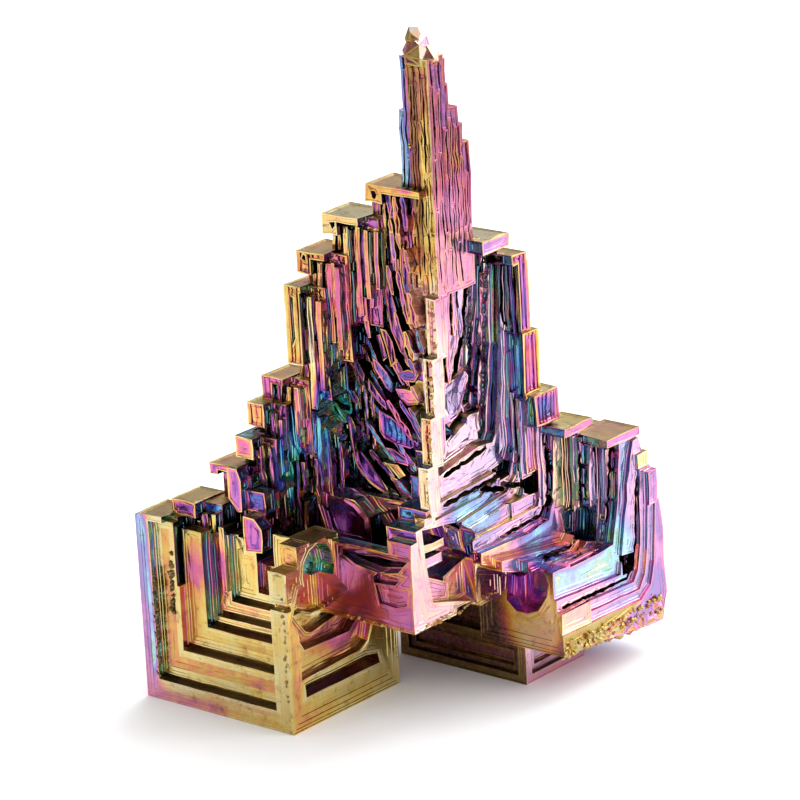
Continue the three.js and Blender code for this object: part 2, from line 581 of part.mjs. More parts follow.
// The solid middle behind both bowls, and the base under them.
function core() {
  return [
    block(-7.5, RIGHT_BOWL_BACK, LEFT_BOWL_BACK, 15, BASE_UNDERSIDE, 50),
    block(-14.5, RIGHT_BOWL_BACK, LEFT_BOWL_BACK, 16, BASE_UNDERSIDE, 40),
    block(-19.5, RIGHT_BOWL_BACK, LEFT_BOWL_BACK, 18, BASE_UNDERSIDE, 31),
    block(-19, -2, 5.4, 18, BASE_UNDERSIDE, 22),
    block(-17, 0, 0, 15, BASE_UNDERSIDE, BOWL_FLOOR),
    block(-10.4, 0, 0, 1.6, BASE_UNDERSIDE, RIM_TOP),
    block(-3, 0, 0, 9.4, 15.4, 20),
    block(-3.6, 0, 9.8, WING_END, 13, 21),
    block(-3.2, 0, 10.4, 14.4, 10.2, 14),
    block(-4, 1, WING_END, 30, WING_UNDERSIDE, 20),
    block(-4, 6.8, WING_END, 20, WING_UNDERSIDE, 9),
    block(0, 5.9, WING_END, 18, 8, 13.4),
  ];
}

// Notches in the base: the arched niche beside the ridge, the cavity in the wing's end and the slits
// of the rim.
function baseNotches() {
  return [
    rightPlate(
      [
        [3.1, 12.9], [9.9, 11], [9.8, 15.4], [9.1, 18.8], [7.1, 20.4], [4.3, 20.7], [2, 20.9], [2.2, 17.4],
      ],
      -3,
      1,
    ),
    rightPlate([[6.4, 10], [6.8, 11.2], [9.9, 11.2], [9.9, 10]], -3, 1),
    leftPlate(
      [
        [-0.3, 9.3], [0, 12.1], [1, 13.2], [3, 13.8], [4.7, 13.4], [5.2, 12], [5, 10.6], [3.8, 8.9],
        [2.4, 8.3], [0.9, 8.3],
      ],
      14,
      WING_END + CAVITY_DEPTH,
    ),
    leftPlate(
      [[-9, 17.4], [-7.4, 16.6], [-4.4, 16.2], [-1.8, 16.7], [-0.4, 18.2], [-5.9, 18.3], [-8.9, 17.8]],
      -1,
      0.7,
    ),
    leftPlate([[-8.2, 17.3], [-4.4, 16.7], [-1.4, 17.2], [-1, 17.7], [-5, 17.6]], -1, 1.5),
    leftPlate([[-5.1, 15.7], [-5, 15.1], [-2.2, 15.3], [-1.4, 16.2], [-4.4, 16.3]], -1, 0.5),
    leftPlate([[-4.9, 14.9], [-0.6, 15], [-0.8, 13.4], [-2.4, 12.9], [-4.4, 13]], -1, 0.25),
  ];
}

// Ledges and sloping faces inside the niche.
function nicheLedges() {
  return [
    block(-2.2, -0.2, 2, 5.4, 18.4, 19.2),
    block(-2.2, -0.4, 2, 5.3, 16.6, 17.6),
    rightPlate([[2.4, 15.9], [6.6, 13.8], [6.6, 10.8], [2.4, 12]], -3, -0.9),
    rightPlate([[6.6, 14.2], [10, 15.2], [10, 11.3], [6.6, 11.3]], -3.2, -1.5),
    rightPlate([[6.2, 20.6], [10, 18], [10, 16], [7.6, 17.2]], -3.2, -1.2),
  ];
}

// The hollow cube at the left: nested frames on its front, recesses on its right, an open pit in its top.
function hollowBlock() {
  const { left, right, front, back, top } = BLOCK;
  const parts = BLOCK_FRAMES.map((frame) =>
    leftPlate(
      [
        [frame.x, frame.sill],
        [right, frame.sill],
        [right, 12.8],
        [frame.x + 3.2, 12.8],
        [frame.x + 3.2, frame.top],
        [frame.x, frame.top],
      ],
      frame.y,
      frame.y + 3,
    ),
  );
  parts.push(block(-19.2, right, -2.9, 0, 1, 15.6));
  parts.push(block(-19.2, -17.2, -2.9, 0, 1, 17.2));
  parts.push(block(left, right, -5, back, 0, 12.4));
  parts.push(block(left, -24.6, -2.6, back, 0, 16));
  parts.push(block(left, right, 4.4, back, 0, 15));
  parts.push(block(-13.3, right, front, -4, 0, top));
  parts.push(block(-14.8, right, -5.6, -3.6, 12, 19.6));
  parts.push(block(-13.4, right, -5.6, 1, 0, 19.3));
  parts.push(block(FRAME_END, right, front, 0, 0, 14));
  return parts;
}

function blockNotches() {
  const { front } = BLOCK;
  const notches = BLOCK_FRAMES.slice(1).map((frame) =>
    block(frame.x, FRAME_END, front - 1, frame.y + 0.8, frame.sill, frame.sill + FRAME_GROOVE),
  );
  BLOCK_FRAMES.slice(1).forEach((frame) => {
    notches.push(block(frame.x, FRAME_END, front - 1, frame.y, frame.sill, 25));
  });
  notches.push(block(-13.2, -9, front - 1, front + 0.7, 13.2, 14));
  for (const recess of BLOCK_RECESSES) notches.push(rightPlate(recess.outline, recess.x, -9));
  for (const pit of [BLOCK_PIT, BLOCK_PIT_HEART]) {
    const oval = [];
    for (let i = 0; i < pit.sides; i += 1) {
      const turn = (2 * Math.PI * i) / pit.sides;
      oval.push([pit.y + pit.halfWidth * Math.cos(turn), pit.z + pit.halfHeight * Math.sin(turn)]);
    }
    notches.push(rightPlate(oval, pit.bottom, -9));
  }
  return notches;
}

// The stepped pyramid behind the arms, with a panel sunk into each riser.
function backPyramid() {
  const parts = [];
  BACK_STEPS.forEach((step, i) => {
    const below = BACK_STEPS[i + 1] ? BACK_STEPS[i + 1].top : BASE_UNDERSIDE;
    let piece = block(step.left, -3, LEFT_BOWL_BACK, step.back, BASE_UNDERSIDE, step.top);
    const low = below + BACK_PANEL_BORDER;
    const high = step.top - BACK_PANEL_BORDER;
    const inner = step.left + BACK_PANEL_DEPTH;
    const nearer = step.back - BACK_PANEL_DEPTH;
    const sunkLeft = block(step.left - 1, inner, 10, step.back - BACK_PANEL_BORDER, low, high);
    const sunkBack = block(step.left + BACK_PANEL_BORDER, -4, nearer, step.back + 1, low, high);
    piece = cut(piece, [sunkLeft, sunkBack]);
    parts.push(piece);
  });
  return parts;
}

// The foot at the back, which stands on the table with the block.
function foot() {
  const { left, right, front, back } = FOOT;
  return [
    block(left, right, front, back, 0, WING_UNDERSIDE + 0.4),
    block(left + 0.8, right - 0.8, front + 0.8, back - 0.8, 0, BASE_UNDERSIDE + 1),
  ];
}

function crystal() {
  const cube = cut(join(hollowBlock()), blockNotches());
  const right = cut(join([...core(), ...rightArm(), ...ridge()]), baseNotches());
  const left = [...leftArm(), ...leftBowl(), ...spire()];
  const grown = join([right, cube, ...nicheLedges(), ...left, ...backPyramid(), ...foot()]);
  return grown.asOriginal().simplify(SMALLEST_STEP);
}

// Gives the solid back as a three.js geometry.
function geometryOf(body) {
  const mesh = body.getMesh();
  const positions = new Float32Array(mesh.numVert * 3);
  for (let i = 0; i < mesh.numVert; i += 1) {
    positions.set(mesh.vertProperties.subarray(i * mesh.numProp, i * mesh.numProp + 3), i * 3);
  }
  const geometry = new THREE.BufferGeometry();
  geometry.setAttribute("position", new THREE.BufferAttribute(positions, 3));
  geometry.setIndex(new THREE.BufferAttribute(mesh.triVerts, 1));
  return geometry;
}

const geometry = geometryOf(crystal());
geometry.computeBoundingBox();
const box = geometry.boundingBox;
geometry.translate(-(box.min.x + box.max.x) / 2, -(box.min.y + box.max.y) / 2, -box.min.z);
geometry.computeVertexNormals();

const oxidisedBismuth = new THREE.MeshStandardMaterial({ color: 0xb98aa8, roughness: 0.25, metalness: 1 });
const cluster = new THREE.Mesh(geometry, oxidisedBismuth);
cluster.name = "bismuth_crystal_cluster";

const part = new THREE.Group();
part.add(cluster);

export default part;
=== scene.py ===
"""Bismuth crystal cluster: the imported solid, cut into fine growth steps and given its oxide colours.

Lengths are millimetres in the crystal's own measures, where the foot of the ridge is x = 0, y = 0, z is
height above the table, the left arm runs towards -X and the right arm towards +Y. They become metres
when the piece is finished.
"""

import math
import random

import bmesh
import bpy
import numpy as np
from mathutils import Matrix, Vector, noise
from mathutils.bvhtree import BVHTree
from mathutils.geometry import delaunay_2d_cdt


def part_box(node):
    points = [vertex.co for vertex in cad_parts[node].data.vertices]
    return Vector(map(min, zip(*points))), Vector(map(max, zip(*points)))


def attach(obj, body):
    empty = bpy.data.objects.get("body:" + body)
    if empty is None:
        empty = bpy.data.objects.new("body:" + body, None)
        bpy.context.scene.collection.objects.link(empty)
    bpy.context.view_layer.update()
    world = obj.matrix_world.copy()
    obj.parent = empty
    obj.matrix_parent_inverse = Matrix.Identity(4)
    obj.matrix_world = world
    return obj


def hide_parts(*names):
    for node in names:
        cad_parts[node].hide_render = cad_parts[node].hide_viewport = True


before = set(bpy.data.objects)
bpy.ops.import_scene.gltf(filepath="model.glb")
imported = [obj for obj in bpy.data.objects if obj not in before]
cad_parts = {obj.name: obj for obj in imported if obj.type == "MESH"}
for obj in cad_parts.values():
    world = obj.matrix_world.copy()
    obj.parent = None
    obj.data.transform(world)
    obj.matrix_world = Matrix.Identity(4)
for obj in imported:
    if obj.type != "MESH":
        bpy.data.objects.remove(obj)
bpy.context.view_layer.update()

NODE = "bismuth_crystal_cluster"
MM = 0.001
SEED = 83

# The cube's lower front left corner, in the crystal's own measures.
CUBE_CORNER = Vector((-30.3, -7.6, 0.0))
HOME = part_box(NODE)[0] / MM - CUBE_CORNER

# Camera, read from the photograph's vanishing directions.
CAMERA_AZIMUTH = 40.5
CAMERA_ELEVATION = 18.2
CAMERA_ROLL = 3.1
CAMERA_DISTANCE = 440.0
CAMERA_LENS = 198.0
CAMERA_SENSOR = 36.0
BASE_CORNER = Vector((0.0, 0.0, 10.5))
BASE_CORNER_PIXEL = (415.0, 635.0)
IMAGE_MIDDLE = 400.0
PIXEL_AT_BASE = 0.1

# Growth steps: how far from a facet's edge each step starts, and how deep the facet lies behind it.
STEP_RUN = 0.05
GROWTH_STEPS = [(0.13, 0.07), (0.42, 0.13), (0.85, 0.19), (1.45, 0.25), (2.3, 0.31), (3.4, 0.36)]

# How alike the normals of one plane are, and the upward normal from which a facet counts as level.
SAME_PLANE = 0.99995
LEVEL = 0.9

# Lines on a facet: near enough, out of reach, the shortest that is kept, how far one runs on at a hollow
# corner for each unit of width, and the most that a distance from the border counts.
NEAR = 1e-4
FAR = 1e6
SHORTEST_LINE = 0.03
LONGEST_MITRE = 2.0
FARTHEST = 50.0

# Facing of a facet, named by the side it is seen from.
LEFT, RIGHT, TOP, BELOW, BACK, OUTER = "left", "right", "top", "below", "back", "outer"


def facing(normal):
    sides = {
        LEFT: -normal.y, RIGHT: normal.x, TOP: normal.z, BELOW: -normal.z, BACK: normal.y, OUTER: -normal.x,
    }
    return max(sides, key=sides.get)


def within(place, ranges):
    return all(low <= value <= high for value, (low, high) in zip(place, ranges))


# Where the oxide is thick or thin: facing, range of x, y and z, film at the rim and in the middle (0 is
# bare silver, 0.16 gold, 0.3 pink, 0.46 purple, 0.6 blue, 0.76 cyan, 0.83 green), the spread from facet
# to facet, how much brown tarnish lies on it, and its paleness: above 0 a pale wash, partly the film's
# own tone and partly painted highlight on sides that face the bright room; below 0 painted shade.
# The first that fits a facet is used.
ANY = (-99, 99)
OXIDE = [
    ("tip", (LEFT, OUTER), (-9, 2), (4, 11), (66.5, 80), 0.12, 0.2, 0.06, 0.7, -0.3),
    ("tip right", ANY, (-9, 2), (4, 11), (66.5, 80), 0.05, 0.3, 0.08, 0.2, 0.4),
    ("spire step", (LEFT,), (-5, -2.6), (5, 13), (55, 66.5), 0.62, 0.74, 0.06, 0.1, 0.45),
    ("spire front", (LEFT,), (-4, 1), (5, 13), (49.9, 66.5), 0.13, 0.24, 0.07, 0.5, -0.25),
    ("spire right", (RIGHT,), (-5, 1), (5, 13), (49.9, 66.5), 0.26, 0.4, 0.06, 0.52, -0.12),
    ("ridge left", (LEFT,), (-2.0, 0.4), (0.5, 7.2), (19, 60), 0.1, 0.16, 0.04, 0.12, 0.25),
    ("ridge right", (RIGHT,), (-0.6, 0.5), (0, 14), (19, 60), 0.2, 0.38, 0.06, 0.04, 0.42),
    ("oval pit", ANY, (-15.5, -10.7), (-4.9, 0.1), (13.1, 19.1), 0.8, 0.86, 0.03, 0.02, -0.45),
    ("wing cavity", ANY, (-1, 6), (15.2, 17.6), (8, 14), 0.34, 0.44, 0.05, 0.05, 0.0),
    ("outer frame", (LEFT,), (-31, -9.8), (-7.8, -7.1), (0, 21), 0.1, 0.13, 0.01, 0.34, 0.1),
    ("second frame", (LEFT,), (-30, -9.8), (-7.1, -6.4), (0, 21), 0.12, 0.15, 0.01, 0.3, -0.1),
    ("third frame", (LEFT,), (-27, -9.8), (-6.4, -5.6), (0, 21), 0.15, 0.18, 0.01, 0.24, -0.08),
    ("cube frames", (LEFT,), (-28.9, -9.8), (-8, 0), (0, 18), 0.12, 0.165, 0.02, 0.16, -0.02),
    ("cube right", (RIGHT,), (-14, -9.8), (-8, 10), (0, 20), 0.13, 0.2, 0.04, 0.16, -0.04),
    ("cube tops", (TOP,), (-31, -9.8), (-8, 10), (0, 21), 0.12, 0.18, 0.04, 0.78, -0.3),
    ("foot front", (RIGHT,), (0, 2), (15, 26), (0, 11), 0.18, 0.34, 0.04, 0.0, 0.65),
    ("foot", ANY, (-16, 2), (15, 26), (0, 11), 0.2, 0.27, 0.04, 0.55, -0.8),
    ("rim front", (LEFT,), (-11, 0.5), (-1, 3), (10, 19.5), 0.24, 0.38, 0.06, 0.14, -0.22),
    ("rim right", (RIGHT,), (-4, 1.2), (-1, 15.2), (10, 21), 0.14, 0.34, 0.08, 0.14, 0.36),
    ("wing end", (LEFT,), (-4, 8), (14, 18), (4, 14), 0.14, 0.34, 0.08, 0.2, 0.0),
    ("wing edge", (RIGHT,), (5.8, 8), (27, 34), (5, 20), 0.3, 0.56, 0.06, 0.04, 0.4),
    ("wing rim", ANY, (5.6, 9), (14, 34), (1, 6.2), 0.13, 0.22, 0.06, 0.5, 0.05),
    ("right caps", (RIGHT,), (1.0, 8), (10, 32), (24.2, 50), 0.12, 0.34, 0.06, 0.1, 0.15),
    ("wing treads", (RIGHT,), (1.0, 8), (13, 34), (4, 24.2), 0.22, 0.44, 0.12, 0.05, 0.42),
    ("right bowl", (RIGHT,), (-4, 4), (4, 26), (16, 50), 0.18, 0.38, 0.09, 0.03, 0.48),
    ("right risers", (LEFT,), (-4, 8), (11, 32), (13, 50), 0.42, 0.74, 0.09, 0.05, -0.3),
    ("left ledges", (TOP, OUTER), (-21, -1.5), (-6, 10), (15, 30), 0.5, 0.8, 0.1, 0.1, -0.6),
    ("caps' tops", (TOP,), (-31, 8), (-9, 32), (20, 60), 0.1, 0.16, 0.04, 0.78, -0.3),
    ("upper left caps", (LEFT,), (-31, -3), (-9, 5.55), (36, 56), 0.12, 0.2, 0.04, 0.16, 0.0),
    ("left caps", (LEFT,), (-31, -3), (-9, 5.55), (19, 36), 0.14, 0.38, 0.06, 0.05, -0.1),
    ("bowl floor", (TOP,), (-21, 0), (-5, 9), (13, 20.5), 0.42, 0.7, 0.1, 0.2, -0.6),
    ("left columns", (LEFT,), (-31, 0), (-9, 10), (33, 56), 0.13, 0.36, 0.1, 0.14, -0.12),
    ("left bowl", (LEFT,), (-31, 0), (-9, 10), (15, 33), 0.13, 0.56, 0.17, 0.04, -0.1),
    ("left flanks", (RIGHT,), (-31, -2), (-9, 10), (13, 60), 0.38, 0.78, 0.12, 0.08, -0.5),
    ("behind", (BACK,), ANY, ANY, ANY, 0.14, 0.34, 0.13, 0.14, -0.05),
    ("outer sides", (OUTER,), ANY, ANY, ANY, 0.13, 0.26, 0.12, 0.14, -0.05),
    ("elsewhere", ANY, ANY, ANY, ANY, 0.16, 0.4, 0.12, 0.14, 0.0),
]


def oxide_of(side, middle):
    return next(
        values for _, sides, xs, ys, zs, *values in OXIDE
        if (sides is ANY or side in sides) and within(middle, (xs, ys, zs))
    )


# Patches where the oxide differs from its facet: facing, centre, reach in x, y and z, how strong, then film,
# paleness (a pale wash with painted highlight above 0, painted shade below 0) and tarnish there.
PATCHES = [
    ((LEFT,), (-29.7, -7.6, 8), (1.3, 0.6, 20), 1.0, 0.71, 0.3, 0.08),
    ((LEFT,), (-28, -7.6, 0.6), (6, 0.6, 2.0), 0.6, 0.07, 0.2, 0.35),
    ((LEFT,), (-11, -7.6, 8), (2.0, 0.6, 14), 0.7, 0.12, -0.1, 0.5),
    ((LEFT,), (-23.5, -5, 15), (3.8, 1.6, 4.2), 0.7, 0.4, -0.25, 0.05),
    ((RIGHT,), (-10.2, -7, 7), (2, 1.5, 9), 0.7, 0.27, 0.05, 0.25),
    ((RIGHT,), (-10.2, 2, 1), (2, 7, 2.4), 0.8, 0.13, -0.05, 0.34),
    ((RIGHT,), (1.2, 10, 21), (3, 6.5, 3.6), 0.85, 0.73, 0.18, 0.0),
    ((RIGHT,), (3.5, 18, 16), (3, 5, 4), 0.85, 0.73, 0.15, 0.0),
    ((RIGHT,), (6, 26, 12), (2, 3, 5), 0.8, 0.76, 0.25, 0.0),
    ((RIGHT,), (6.9, 20, 9), (2, 6, 2.4), 0.6, 0.31, 0.45, 0.05),
    ((RIGHT,), (-2, 10, 40), (3, 5, 8), 0.5, 0.31, 0.55, 0.0),
    ((RIGHT,), (0, 8.5, 48), (2, 6, 9), 0.85, 0.33, 0.22, 0.22),
    ((RIGHT,), (0, 2, 14), (2, 3, 4), 0.6, 0.25, 0.4, 0.1),
    ((LEFT,), (-1.8, 6.4, 50), (3, 2, 6), 0.9, 0.19, -0.15, 0.32),
    ((LEFT,), (-3.3, 6.4, 60), (0.7, 2, 13), 0.9, 0.67, 0.15, 0.1),
    ((LEFT,), (-2.0, 6.4, 59), (0.9, 2, 14), 0.9, 0.25, -0.5, 0.45),
    ((LEFT,), (-0.9, 6.4, 57), (0.6, 2, 8), 0.9, 0.15, 0.05, 0.15),
    ((LEFT,), (-0.9, 6.4, 65), (0.8, 2, 3), 0.8, 0.3, -0.3, 0.3),
    (ANY, (-13.8, 6, 29), (1.3, 5, 8), 0.9, 0.82, -0.1, 0.0),
    (ANY, (-17, 4, 25), (1.1, 5, 7), 0.9, 0.81, -0.1, 0.0),
    ((LEFT,), (-6, 7, 30), (3.5, 4, 6), 0.35, 0.72, 0.2, 0.0),
    ((LEFT,), (-12, 6, 43), (5, 4, 6), 0.5, 0.38, 0.0, 0.03),
    ((LEFT,), (-6, 0, 14), (6, 2, 3), 0.85, 0.33, -0.36, 0.05),
    ((LEFT,), (3, 15, 8), (5, 1.5, 6), 0.9, 0.16, 0.35, 0.1),
    ((RIGHT,), (-10.2, 1, 9.5), (2, 6, 4.5), 0.75, 0.32, -0.12, 0.08),
]
PATCH_EDGE = 1.5


def patched(side, places, values):
    """Film, paleness with its painted highlight and shade, and tarnish at each place, changed by the patches
    that reach it.
    """
    for sides, centre, reach, strength, *there in PATCHES:
        if sides is ANY or side in sides:
            off = (((places - np.array(centre)) / np.array(reach)) ** 2).sum(1)
            share = strength * np.clip(PATCH_EDGE * (1 - off), 0, 1)[:, None]
            values = values + share * (np.array(there) - values)
    return values


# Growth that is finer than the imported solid: plates added to it and plates cut out of it. Each part lists
# its plates as outline, the planes that it stands between, and the axis across them.

def add_plate(shape, outline, near, far, axis):
    """A plate between two planes; its outline is in x and z where the axis is y, else in y and z."""
    def spot(a, z):
        return (a, near, z) if axis == "y" else (near, a, z)
    face = shape.faces.new([shape.verts.new(spot(*point)) for point in outline])
    out = bmesh.ops.extrude_face_region(shape, geom=[face])["geom"]
    move = (0, far - near, 0) if axis == "y" else (far - near, 0, 0)
    moved = [v for v in out if isinstance(v, bmesh.types.BMVert)]
    bmesh.ops.translate(shape, verts=moved, vec=move)


def ribbon(path, width, chance, wander=0.16, taper=0.5):
    """The outline of a strip of uneven width along a path, narrower at its ends."""
    near, far = [], []
    for i, (a, z) in enumerate(path):
        before, after = path[max(i - 1, 0)], path[min(i + 1, len(path) - 1)]
        run = Vector((after[0] - before[0], after[1] - before[1])).normalized()
        half = width / 2 * (taper if i in (0, len(path) - 1) else 1.0)
        one, other = (half * (1 + chance.uniform(-wander, wander) * 2) for _ in "ab")
        near.append((a - run.y * one, z + run.x * one))
        far.append((a + run.y * other, z - run.x * other))
    return near + far[::-1]


def add_object(name, data):
    made = bpy.data.objects.new(name, data)
    bpy.context.scene.collection.objects.link(made)
    return made


def add_shape(name, shape):
    """The shape as an object of the scene."""
    mesh = bpy.data.meshes.new(name)
    shape.to_mesh(mesh)
    shape.free()
    return add_object(name, mesh)


def in_order(shape):
    """The same shape with its points and faces sorted by place.

    Some operators leave them in another order each run, and what comes after follows that order.
    """
    ranked = sorted(shape.verts, key=lambda v: tuple(round(c, 4) for c in v.co))
    rank = {vert: i for i, vert in enumerate(ranked)}
    rows = []
    for face in shape.faces:
        row = [rank[v] for v in face.verts]
        first = row.index(min(row))
        rows.append(row[first:] + row[:first])
    ordered = bmesh.new()
    verts = [ordered.verts.new(vert.co) for vert in ranked]
    for row in sorted(rows):
        ordered.faces.new([verts[i] for i in row])
    ordered.normal_update()
    shape.free()
    return ordered


def combined(body, plates, operation):
    """The body with the plates added or cut out."""
    tool = bmesh.new()
    for plate in plates:
        add_plate(tool, *plate)
    tool = in_order(tool)
    bmesh.ops.recalc_face_normals(tool, faces=tool.faces)
    holders = [add_shape("growing", shape) for shape in (body, tool)]
    step = holders[0].modifiers.new("growth", "BOOLEAN")
    step.operation, step.solver, step.object = operation, "MANIFOLD", holders[1]
    grown = holders[0].evaluated_get(bpy.context.evaluated_depsgraph_get())
    result = bmesh.new()
    result.from_mesh(grown.to_mesh())
    grown.to_mesh_clear()
    for holder in holders:
        mesh = holder.data
        bpy.data.objects.remove(holder)
        bpy.data.meshes.remove(mesh)
    return in_order(result)


# Blades of the left bowl: how steeply they fall towards the ridge at each height in degrees, where their
# lines start, the stride along a line, strides in a length, width, and the planes that they stand between.
BLADE_FALL = [(19, 18), (23, 35), (28, 48), (34, 58), (40, 72), (46, 84), (60, 87)]
BLADE_SEEDS = [(-3.1 - 0.88 * i, 50.0 - 1.92 * i) for i in range(15)]
BLADE_STRIDE = 0.6
BLADE_STRIDES = (4, 11)
SHORTEST_BLADE = 3
BLADE_WIDTHS = (0.42, 0.62)
BLADE_BACK = 9.4
BLADE_FRONT_AT = (-16.0, -10.0, -7.0, -3.0)
BLADE_FRONT = (5.8, 7.4, 7.0, 5.3)
BLADE_SWAY = 0.6
GAP_CHANCE = 0.75
WIDER_GAP_CHANCE = 0.5


def fall_at(z):
    return math.radians(float(np.interp(z, *zip(*BLADE_FALL))))


# The left bowl: its heights, its edge by the ridge, and its outer edge, which leans in above a height.
BOWL_FOOT, BOWL_TOP = 20.2, 54
BOWL_RIDGE, BOWL_OUTER = -1.9, -16.2
BOWL_LEAN, BOWL_LEANS_ABOVE = 0.36, 30


def in_left_bowl(x, z):
    outer = BOWL_OUTER + BOWL_LEAN * max(z - BOWL_LEANS_ABOVE, 0)
    return BOWL_FOOT < z < BOWL_TOP and outer < x < BOWL_RIDGE


def blade_line(x0, z0):
    """A line down the bowl through a point, as steep at each height as the blades are."""
    path = [(x0, z0)]
    for way in (-1, 1):
        x, z = x0, z0
        while in_left_bowl(x, z):
            fall = fall_at(z)
            x, z = x + way * BLADE_STRIDE * math.cos(fall), z - way * BLADE_STRIDE * math.sin(fall)
            path.insert(0 if way < 0 else len(path), (x, z))
    return path


def left_blades(chance, start):
    """Thin blades that follow the fall of the left bowl, broken into lengths."""
    for seed in BLADE_SEEDS[start::2]:
        path, at = blade_line(*seed), 0
        while at < len(path) - SHORTEST_BLADE:
            count = chance.randint(*BLADE_STRIDES)
            piece = path[at:at + count]
            if len(piece) > SHORTEST_BLADE:
                middle = piece[len(piece) // 2][0]
                near = float(np.interp(middle, BLADE_FRONT_AT, BLADE_FRONT))
                near += chance.uniform(-BLADE_SWAY, BLADE_SWAY)
                outline = ribbon(piece, chance.uniform(*BLADE_WIDTHS), chance)
                yield outline, near, BLADE_BACK, "y"
            at += count + 1 if chance.random() < GAP_CHANCE else count
            at += 0 if chance.random() < WIDER_GAP_CHANCE else 1


# Ribs in front of the left columns: left edge, right edge, front, foot and top.
LEFT_RIBS = [
    (-7.6, -1.6, 6.9, 46, 54.0), (-12.8, -7.2, 5.9, 41, 50.4), (-15.5, -10.6, 4.9, 37, 46.4),
    (-16.6, -13.0, 3.9, 33, 43.0), (-19.6, -15.2, 2.9, 27, 33.2), (-20.4, -17.0, 1.4, 25, 30.6),
    (-20.9, -17.3, -0.1, 19, 27.3), (-23.2, -19.2, -1.6, 14, 24.5), (-26.6, -21.6, -4.1, 7, 20.7),
    (-16.2, -13.2, 3.3, 22, 30.4), (-15.2, -11.6, 4.8, 21, 28.6), (-14.2, -9.6, 7.7, 21.6, 33.5),
    (-17.2, -14.6, 2.4, 18, 25.8),
]

# How wide, far apart and long the ribs are, and how unevenly they end, stand out and sway.
RIB_WIDTHS = (0.26, 0.5)
RIB_GAPS = (0.24, 0.5)
RIB_LENGTHS = (3, 9)
RIB_BREAKS = (0.3, 0.9)
RIB_STRIDE = 0.8
RIB_STANDS_OUT = (0.15, 0.6)
RIB_ROOT = 0.5
RIB_INSET = 0.25
RIB_TOPS, RIB_FEET = 1.2, 1.5
RIB_SWAY = 0.05
SHORTEST_RIB = 1.5


def left_ribs(chance):
    """Upright ribs of uneven width, each column broken into lengths."""
    for left, right, front, foot, top in LEFT_RIBS:
        x = left + RIB_INSET
        while x < right:
            width = chance.uniform(*RIB_WIDTHS)
            z = top - chance.uniform(0, RIB_TOPS)
            while z > foot + SHORTEST_RIB:
                low = max(foot - chance.uniform(0, RIB_FEET), z - chance.uniform(*RIB_LENGTHS))
                count = int((z - low) / RIB_STRIDE) + 1
                path = [(x + chance.uniform(-RIB_SWAY, RIB_SWAY), z - i * RIB_STRIDE) for i in range(count)]
                if len(path) > 2:
                    near = front - chance.uniform(*RIB_STANDS_OUT)
                    yield ribbon(path, width, chance, wander=0.12, taper=0.8), near, front + RIB_ROOT, "y"
                z = low - chance.uniform(*RIB_BREAKS)
            x += width + chance.uniform(*RIB_GAPS)


# Hopper panels sunk in plain faces: axis, plane, way into the metal, range across, range of heights, how
# many steps, how far each step lies inside the last, and how deep it goes.
PANELS = [
    ("x", -30.3, 1, (-6.3, 8.0), (1.2, 11.2), 4, 1.15, 0.55),
    ("y", 9.2, -1, (-29.1, -11.4), (1.2, 9.6), 3, 1.25, 0.55),
    ("y", 25.5, -1, (-14.3, 0.3), (0.9, 4.1), 2, 0.75, 0.4),
    ("x", -15.4, 1, (16.7, 24.5), (0.9, 4.1), 2, 0.75, 0.4),
    ("x", 1.4, -1, (16.7, 24.5), (0.9, 4.1), 2, 0.75, 0.35),
    ("y", 15.7, 1, (-14.3, 0.3), (0.9, 4.1), 2, 0.75, 0.35),
    ("x", -19.5, 1, (10.0, 17.0), (23.4, 30.2), 3, 0.9, 0.45),
    ("x", -14.5, 1, (10.0, 15.2), (34.8, 39.3), 2, 0.9, 0.45),
    ("x", -7.5, 1, (10.2, 14.2), (46.2, 49.3), 2, 0.7, 0.4),
    ("x", -17.0, 1, (3.1, 6.4), (36.4, 43.0), 2, 0.55, 0.3),
]
PANEL_STEPS = max(row[5] for row in PANELS)
PANEL_CLEARANCE = 0.3


def panel_step(number):
    """The boxes that sink one step of every panel that has it."""
    for axis, plane, inward, across, heights, steps, inset, depth in PANELS:
        if number >= steps:
            continue
        edge = number * inset
        low, high = across[0] + edge, across[1] - edge
        bottom, top = heights[0] + edge, heights[1] - edge
        outline = [(low, bottom), (high, bottom), (high, top), (low, top)]
        near, far = sorted((plane - PANEL_CLEARANCE * inward, plane + (number + 1) * depth * inward))
        yield outline, near, far, axis


# Dark grooves of the right bowl: their plane and the middle line in y and z, from the top, and the width.
RIGHT_GROOVES = [
    (-2.6, 0.7, [(14.8, 47.0), (14.0, 41.4), (13.1, 37.2), (11.8, 34.5), (11.2, 33.9)]),
    (-1.8, 0.75, [(15.3, 46.8), (14.6, 41.4), (14.0, 36.2), (13.5, 31.5), (12.6, 30.7)]),
    (-0.8, 0.8, [(16.4, 45.8), (15.7, 41.2), (15.1, 35.1), (14.3, 27.8), (13.7, 26.9)]),
    (-1.8, 0.45, [(12.4, 30.0), (9.2, 28.1)]),
    (-0.8, 0.5, [(13.6, 26.2), (6.6, 25.1)]),
    (-0.3, 0.5, [(14.6, 22.9), (5.8, 22.4)]),
    (0.0, 0.7, [(15.3, 21.3), (11.6, 22.4)]),
    (0.8, 0.6, [(17.5, 21.1), (14.6, 22.1)]),
    (2.1, 0.45, [(20.5, 24.6), (20.2, 19.0), (19.2, 17.5), (12.5, 17.2)]),
    (4.2, 0.45, [(23.8, 23.3), (23.6, 18.2), (22.9, 14.5), (21.4, 13.7), (15.9, 14.2)]),
    (5.9, 0.45, [(26.6, 23.6), (26.0, 17.8), (24.9, 13.8), (22.6, 13.5), (16.0, 13.6)]),
    (6.5, 0.4, [(29.2, 19.6), (28.7, 12.6), (28.2, 10.1), (27.0, 9.1), (16.0, 9.4)]),
]
GROOVE_DEPTH = 1.5
GROOVE_CLEARANCE = 0.75


